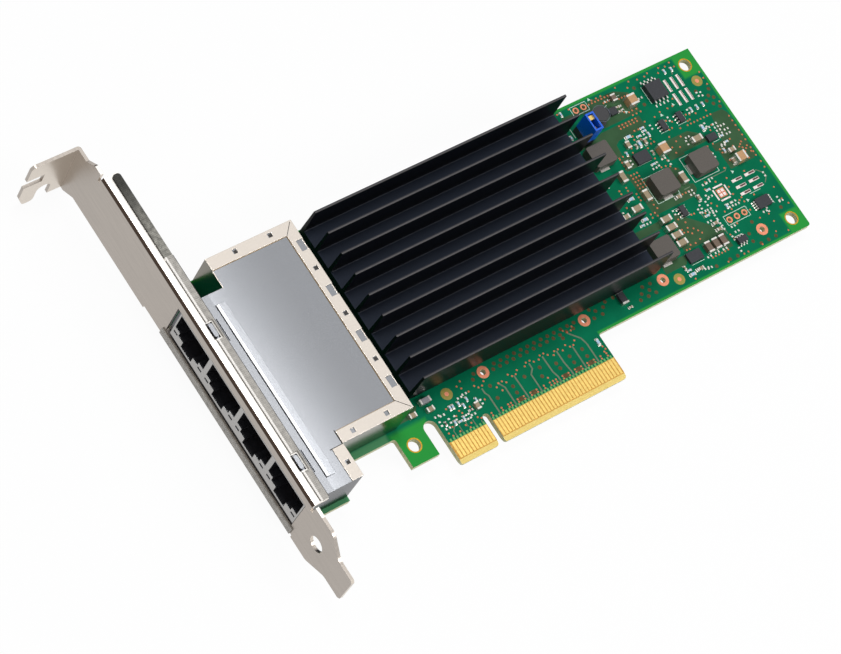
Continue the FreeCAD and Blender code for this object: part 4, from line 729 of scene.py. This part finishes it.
VIA_ROWS = (
    (79.1, 57.0, 6, 1.1, 0), (79.1, 57.8, 6, 1.1, 0), (96.8, 50.3, 8, 1.12, 0),
    (73.6, 40.9, 5, 0, 1.0), (74.6, 40.9, 5, 0, 1.0), (75.6, 40.9, 5, 0, 1.0),
    (73.6, 46.9, 4, 0, 1.0), (75.2, 66.3, 7, 1.05, 0), (76.6, 67.0, 3, 1.5, 0),
    (79.2, 65.0, 4, 0.9, 0), (82.9, 64.3, 5, 0.95, 0), (83.3, 34.7, 3, 1.1, 0),
    (73.6, 50.2, 2, 1.2, 0), (109.2, 40.3, 6, 0, 1.5), (109.1, 35.4, 3, 0, 1.2),
    (97.9, 54.0, 2, 0.3, -1.0), (106.3, 39.3, 3, 0.7, 0.5), (80.0, 16.7, 6, 1.05, 0),
    (74.1, 24.9, 3, 1.5, 0.4))
# Vias under the mask, which only show as dull rounds.
TENTED_SPOTS = (
    (5.6, 13.65), (5.5, 10.2), (10.85, 11.0), (10.8, 9.2), (15.0, 11.8), (19.2, 9.9),
    (20.0, 12.1), (24.5, 11.1), (24.7, 9.6), (28.8, 11.15), (28.9, 9.3), (32.9, 11.3),
    (33.0, 9.2), (30.1, 15.85), (40.8, 19.2), (46.0, 19.2), (48.6, 19.2), (42.2, 18.2),
    (44.7, 18.2), (40.8, 16.7), (43.5, 16.7), (57.5, 18.2), (60.0, 18.1), (56.2, 16.7),
    (58.8, 16.7), (55.0, 15.4), (57.6, 15.4), (60.1, 15.4), (79.5, 14.3), (84.1, 14.3),
    (86.6, 14.2), (94.8, 14.3), (97.3, 14.3), (99.8, 14.3), (93.0, 15.7), (93.3, 17.9),
    (96.1, 20.3), (106.2, 20.3), (89.6, 65.2), (89.4, 60.1), (107.5, 55.0), (108.6, 54.0),
    (106.1, 53.9), (107.4, 52.5), (105.0, 57.4), (108.6, 51.1), (108.8, 56.6))


def make_vias():
    pad, dimple, tent = 0.5, 0.16, 1.0          # across an open via, its middle, a tented one
    spots = list(VIA_SPOTS)
    for x, y, count, dx, dy in VIA_ROWS:
        spots += [(x + dx * i, y + dy * i) for i in range(count)]
    for x in (1.8, 4.9, 6.9, 7.8, 9.9, 11.8, 13.9, 15.8, 18.1, 20.0, 21.0, 21.9, 24.0, 25.9,
              27.95, 29.9, 31.9, 34.0, 36.1, 38.0):
        spots += [(x, 6.95), (x, 7.65)]
    open_vias, dimples, tented = Shape(), Shape(), Shape()
    for x, y in spots:
        open_vias.disc(x, y, pad, BED, FACE + PAD, sides=10)
        dimples.disc(x, y, dimple, FACE, FACE + PAD + 0.004, sides=6)
    covered = list(TENTED_SPOTS)
    for first, level in ((2.6, 16.9), (3.6, 18.1)):
        row = [first + 2.1 * index for index in range(17)]
        # These two rows leave out the vias that would meet a tooling hole's ring.
        covered += [(x, level) for x in row if min(abs(x - hole) for hole in TOOLING[:2]) > 2.0]
    for x, y in covered:
        tented.disc(x, y, tent, BED, FACE + TRACE, sides=16)
    for x in (10.85, 14.85, 24.95, 28.9, 32.95):
        tented.box(x, 7.35, 1.3, 1.15, BED, FACE + TRACE)
    make_piece("open_vias", open_vias, "copper")
    make_piece("via_centres", dimples, "mask_via")
    make_piece("tented_vias", tented, "mask_via")


def make_rings():
    """Plated rings round the tooling, mounting and header holes, and the round test pads."""
    tooling, gold, pads, centres = Shape(), Shape(), Shape(), Shape()
    for x in TOOLING:
        tooling.washer(x, 17.4, outer=3.25, inner=1.5, low=BED, high=FACE + PAD)
    for x, y in ((90.8, 23.4), (93.34, 23.4), (95.88, 23.4), (70.9, 66.35), (73.44, 66.35)):
        tooling.washer(x, y, outer=1.75, inner=1.0, low=BED, high=FACE + PAD, sides=20)
    for x, y in ((106.95, 16.5), (106.95, 64.95), (-20.45, 9.3)):
        for low, high in ((BED, FACE + TRACE), (BACK - TRACE, BACK + SUNK)):
            gold.washer(x, y, outer=3.85, inner=3.2, low=low, high=high)
    for x, y in ((-5.6, 16.7), (107.2, 59.8), (68.0, 15.7)):
        pads.washer(x, y, outer=3.1, inner=1.15, low=BED, high=FACE + TRACE)
        centres.disc(x, y, diameter=1.15, low=BED, high=FACE + PAD, sides=20)
    make_piece("tooling_rings", tooling, "ring")
    make_piece("mounting_rings", gold, "gold_ring")
    make_piece("test_pad_rims", pads, "dull_gold")
    make_piece("test_pad_centres", centres, "ring")


def make_empty_footprints():
    """Pads of parts that are not fitted: two blocks of long pads and a square chip's pads."""
    tin, brown, copper = Shape(), Shape(), Shape()
    top, film = FACE + PAD, FACE + PAD + 0.006  # the tops of a pad and of the shade on it
    for x in (98.7, 100.9, 102.9):
        for y in (61.9, 57.6):
            tin.box(x, y, 0.85, 3.6, BED, top)
            brown.box(x + 0.22, y, 0.2, 3.4, FACE, film)
    for x in (98.0, 102.4):
        for y in (31.9, 29.9, 27.85):
            tin.box(x + 1.75, y, 3.3, 0.78, BED, top)
            brown.box(x + 2.35, y + 0.04, 1.9, 0.5, FACE, film)
    x, y, long, thin = 93.6, 30.6, 3.1, 0.45    # the square chip's middle and its rim pads
    for step in (-1.95, 1.95):
        tin.box(x + step, y, thin, long, BED, top)
        tin.box(x, y + step, long, thin, BED, top)
    copper.box(x, y, 2.5, 2.5, BED, FACE + TRACE)
    for i in (-0.56, 0.56):
        for j in (-0.56, 0.56):
            tin.box(x + i, y + j, 0.85, 0.85, FACE, top)
    make_piece("long_pads", tin, "pink_tin")
    make_piece("pad_shades", brown, "pad_shade")
    make_piece("chip_pad", copper, "copper")


def make_print():
    """Printed frames, lines and arrows.  There are no letters among them."""
    frame_line, mark_line = 0.16, 0.14
    ink = Shape()
    for left, low, right, high in (
            (89.6, 22.1, 97.1, 24.8), (69.6, 65.1, 74.7, 67.6), (75.6, 35.2, 82.9, 42.7),
            (88.6, 36.0, 96.9, 43.3)):
        corners = [(left, low), (right, low), (right, high), (left, high)]
        for ends in zip(corners, corners[1:] + corners[:1]):
            ink.strip(ends, frame_line, BED, FACE + INK)
    for route in (
            [(100.6, 27.0), (104.2, 27.0)], [(73.4, 17.6), (73.4, 20.6)],
            [(73.6, 17.3), (77.6, 17.3)], [(100.4, 43.3), (102.4, 43.3)],
            [(77.0, 46.2), (81.4, 46.2)], [(91.4, 64.6), (91.4, 59.4)],
            [(66.2, 62.8), (66.2, 59.8)], [(78.6, 29.2), (82.0, 29.2)],
            [(78.6, 32.1), (82.0, 32.1)], [(78.0, 63.6), (79.6, 64.2)],
            [(84.6, 65.2), (81.2, 65.2)], [(88.6, 51.3), (91.4, 51.3)],
            [(94.4, 51.3), (97.2, 51.3)], [(88.8, 18.8), (91.6, 18.8)],
            [(105.3, 22.1), (105.3, 22.6)], [(73.9, 48.9), (75.6, 48.9)]):
        ink.strip(route, mark_line, BED, FACE + INK)
    arrow = [(-0.5, -0.35), (0.5, -0.35), (0.0, 0.45)]
    for x, y in ((91.9, 55.7), (96.7, 56.9), (76.0, 67.6)):
        ink.slab([(x + a, y + b) for a, b in arrow], BED, FACE + INK)
    for x, y in ((100.1, 34.2), (99.0, 25.8), (83.5, 60.4)):
        ink.slab([(x + b, y + a) for a, b in arrow[::-1]], BED, FACE + INK)
    make_piece("printed_marks", ink, "silk")


# Tiny chip parts.  Cases are (length, width, height, end, look), and a case without a look
# is a pair of bare pads.  The places of the parts follow, by case and long axis.
TINY_CASES = {
    "r": (1.05, 0.55, 0.36, 0.26, "blue_white"), "c": (1.05, 0.55, 0.5, 0.26, "tan"),
    "d": (1.0, 0.5, 0.35, 0.24, "brown"), "m": (1.6, 0.8, 0.75, 0.34, "tan"),
    "s": (1.6, 0.8, 0.45, 0.34, "blue_white"), "p": (1.0, 0.44, 0.0, 0.3, None)}
TINY_PARTS = {
    "rY": ((-7.0, 13.3), (-6.15, 13.3), (-4.45, 13.3), (-3.5, 12.3), (-1.9, 13.4), (-8.0, 9.6),
        (-5.3, 9.6), (0.2, 12.2), (100.3, 65.7), (102.5, 65.5), (85.2, 52.6), (100.4, 53.6),
        (102.4, 53.6), (104.4, 53.6), (66.4, 67.0), (65.0, 60.3), (76.2, 50.4), (92.4, 26.8),
        (101.7, 40.1)),
    "rX": ((-6.5, 9.3), (84.6, 54.8), (84.6, 53.9), (82.4, 53.2), (103.6, 43.9), (103.8, 42.0),
        (81.2, 45.0), (67.9, 32.0), (71.9, 16.5), (85.9, 26.9), (90.6, 32.8)),
    "dY": ((-10.3, 10.4),),
    "dX": ((-2.5, 10.6),),
    "pY": ((-7.2, 10.6), (-4.4, 9.5), (-3.6, 9.5), (1.2, 11.2), (-11.4, 10.9), (-8.9, 10.6),
        (83.1, 62.0), (84.0, 52.6), (99.4, 53.5), (87.1, 54.0), (93.0, 53.9), (101.4, 48.3),
        (93.6, 46.2), (98.2, 40.2), (82.4, 44.6), (76.0, 47.9), (85.6, 43.6), (104.9, 56.5),
        (106.0, 56.2), (65.2, 36.6), (85.7, 29.7), (87.8, 29.8), (89.0, 31.2), (84.6, 28.9),
        (87.8, 25.6), (87.8, 24.2), (87.9, 22.4), (102.4, 21.3), (107.0, 22.6), (88.3, 15.4),
        (88.6, 18.7), (78.0, 31.4), (107.8, 30.0)),
    "pX": ((-10.4, 9.2), (-2.5, 9.4), (-1.6, 14.8), (-11.2, 12.9), (-9.8, 12.6), (-3.2, 14.5),
        (89.4, 62.1), (101.5, 47.4), (104.0, 47.6), (103.9, 46.6), (103.9, 45.6), (103.8, 44.6),
        (106.1, 45.0), (105.9, 43.8), (105.8, 46.4), (94.6, 47.5), (102.4, 41.4), (80.9, 43.9),
        (84.8, 45.2), (80.3, 65.2), (69.9, 31.9), (76.7, 15.0), (77.6, 14.7), (79.4, 17.3),
        (82.0, 17.4), (84.6, 17.3), (90.0, 31.0), (85.7, 28.2), (87.5, 28.2), (87.5, 27.4),
        (88.4, 26.9), (93.6, 27.2), (93.6, 26.3), (95.1, 27.2), (95.6, 26.2), (85.4, 25.3),
        (90.6, 34.5), (92.0, 34.6), (93.1, 35.1), (102.6, 41.8), (90.7, 19.9), (90.6, 21.5),
        (101.4, 21.2), (107.4, 21.8), (85.9, 34.6), (85.9, 33.6)),
    "cX": ((81.9, 62.5), (81.9, 61.2), (51.3, 15.0), (65.4, 44.7)),
    "sX": ((79.4, 54.2), (69.4, 39.4), (69.4, 33.1), (74.6, 15.6), (72.1, 15.2)),
    "sY": ((81.2, 51.3), (100.1, 47.9), (37.7, 11.0)),
    "mY": ((82.8, 51.2), (86.6, 31.9), (102.0, 36.5)),
    "cY": ((79.9, 51.1), (83.0, 47.8), (71.1, 17.5)),
    "mX": ((75.0, 15.6), (86.4, 24.2), (86.4, 22.4), (81.6, 34.5))}


def lay(shape, place, along, shift, run, breadth, *levels):
    """A box whose run lies along a part's long axis, at a shift from the part's middle."""
    (x, y), (dx, dy) = place, along
    shape.box(x + dx * shift, y + dy * shift, dx * run + dy * breadth,
              dx * breadth + dy * run, *levels)


def make_tiny_parts():
    slots = {"blue_white": "ceramic_tan", "tan": "ceramic_tan", "brown": "ceramic_brown"}
    bodies = {look: Shape() for look in slots}
    ends = Shape()
    for (case, axis), places in TINY_PARTS.items():
        long, wide, high, end, look = TINY_CASES[case]
        dx, dy = along = (1, 0) if axis == "X" else (0, 1)
        for place in places:
            for side in (-1, 1):
                rim, outer = side * long / 2, side * (long / 2 + 0.02)
                lay(ends, place, along, outer, end * 1.5, wide + 0.12, BED, FACE + PAD)
                if look:
                    lay(ends, place, along, side * (long - end) / 2, end, wide, FACE,
                        FACE + high, 0.06)
                    ends.wedge(place[0] + dx * rim, place[1] + dy * rim, (dx * side, dy * side),
                               0.22, wide, FACE, FACE + high * 0.7)
                else:
                    lay(ends, place, along, outer, end * 1.2, wide, FACE, FACE + 0.09, 0.04)
            if look:
                lay(bodies[look], place, along, 0, long - 2 * end, wide - 0.04, FACE,
                    FACE + high - 0.03, 0.05)
    for look, shape in bodies.items():
        make_piece(f"tiny_parts_{look}", shape, look)
    make_piece("tiny_part_ends", ends, "tin")


# ---------------------------------------------------------------- jack and heatsink lines
def make_cover_seams():
    """Painted shadow: dark strips where the cover's flaps part, and dark squares for the shade
    in its openings.
    """
    (front, step_low, _), (rear, high, _) = box_mm("jack_rear_shield")
    top = box_mm("jack_front_shield")[1][2] - RIDGE
    flap, step, low = 3.2, -42.8, 14.75         # a flap's width, and the cover's inner corner
    under, gap, burr = top - DEEP, 0.24, 0.14   # the lines' foot, and their widths
    seams = Shape()
    for level, turn in ((high, -1), (low, 1)):
        seams.strip([(rear - 0.42, level + turn * 0.32),
                     (rear - flap - 0.15, level + turn * (flap + 0.05))],
                    gap, under, top + 0.04)
    inner = (step - 0.1, low - 0.1)
    for end in ((step - flap - 0.5, low - 0.1), (step - 0.1, low + flap + 0.4)):
        seams.strip([end, inner], gap, under, top + 0.04)
    windows = [(front + 7.87, high - 1.4), (front + 17.92, high - 1.4),
               (step - 1.48, (step_low + low) / 2 - 0.1)]
    first, pitch, long, wide = 14.265, 12.93, 0.8, 0.85
    windows += [(rear - 1.3, low + first + pitch * index) for index in range(3)]
    for x, y in windows:
        seams.box(x, y, long, wide, under, top + 0.04)
    make_piece("cover_seams", seams, "seam")
    burrs = Shape()
    rear_rim, far_rim, near_rim = rear - flap - 0.1, high - flap - 0.08, low + flap + 0.08
    for route in ([(rear_rim, near_rim + 0.12), (rear_rim, far_rim - 0.02)],
                  [(rear_rim, far_rim), (front + 0.2, far_rim)],
                  [(step + 0.3, near_rim), (rear_rim, near_rim)]):
        burrs.strip(route, burr, under, top + 0.1)
    make_piece("cover_burrs", burrs, "burr")
    # A painted highlight: a near-white strip along the ridge's crest.
    crest = Shape()
    ridge, ridge_low, ridge_high = ridge_span()
    crest.strip([(ridge + 0.45, ridge_low + 0.1), (ridge + 0.45, ridge_high - 0.1)], 0.7,
                top + 0.1, top + RIDGE - 0.02)
    make_piece("ridge_crest", crest, "bright")
    # Painted shade: dark discs in the small holes at the front of the roof.
    pits, across = Shape(), 0.62
    for y in (9.45, 20.15, 45.76, 56.46):
        pits.disc(-53.3, y, across, under, top + 0.015, sides=16)
    make_piece("roof_pits", pits, "seam")


def make_drum_rim():
    """A painted highlight on the rim of the drum inductor's top flange."""
    (left, low, _), (right, high, top) = box_mm("drum_inductor")
    across = min(right - left, high - low)
    rim = Shape()
    rim.washer((left + right) / 2, (low + high) / 2, across - 0.12, across - 0.5, top - DEEP,
               top + 0.008, sides=48)
    make_piece("drum_rim", rim, "root")


def make_flange_lines():
    """Painted shadow: a dark line on the near side of both flange gaskets, and behind the
    jack's.
    """
    lines = Shape()
    for name, far_side in (("upper_gasket", False), ("jack_gasket", True)):
        (left, low, base), (right, high, _) = box_mm(name)
        lines.strip([(left - 0.07, low + 0.1), (left - 0.07, high - 0.7)], 0.14, base - 0.03,
                    base + 0.06)
        if far_side:
            lines.strip([(right + 0.08, low + 0.1), (right + 0.08, high - 0.1)], 0.18,
                        base - 0.2, base + 0.42)
    make_piece("gasket_painted_shadows", lines, "seam")


def make_fin_lines():
    """A painted highlight line on the crest of each fin, and a painted glint along each fin's
    root.
    """
    corners = [[part / MM for part in v.co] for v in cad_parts["heatsink"].data.vertices]
    top = max(z for _, _, z in corners)
    floor = max(z for _, _, z in corners if z < top - 6.0)
    crest = [(x, y) for x, y, z in corners if z > top - 0.02]
    rows, spacing = [], 2.0                     # corners closer than this share a fin
    for level in sorted({round(y, 2) for _, y in crest}):
        if rows and level - rows[-1][-1] <= spacing:
            rows[-1].append(level)
        else:
            rows.append([level])
    crests, roots = Shape(), Shape()
    (left, _, _), (right, _, _) = box_mm("heatsink")
    for number, row in enumerate(rows):
        middle = (row[0] + row[-1]) / 2
        ends = [x for x, y in crest if row[0] - 0.01 <= y <= row[-1] + 0.01]
        crests.strip([(min(ends) + 0.05, middle - 0.08), (max(ends) - 0.05, middle - 0.08)],
                     0.26, top - DEEP, top + 0.012)
        if number:
            roots.strip([(left + 0.4, middle - 0.66), (right - 0.4, middle - 0.66)], 0.16,
                        floor - DEEP, floor + 0.02)
    make_piece("fin_crest_lines", crests, "crest")
    make_piece("fin_root_lines", roots, "root")


# ---------------------------------------------------------------- build
make_camera()
make_lights()
make_floor()
bpy.context.scene.view_settings.view_transform = "Standard"
finish_nodes()
for make in (make_copper_planes, make_traces, make_vias, make_rings, make_empty_footprints,
             make_print, make_tiny_parts, make_cover_seams, make_drum_rim, make_flange_lines,
             make_fin_lines):
    make()
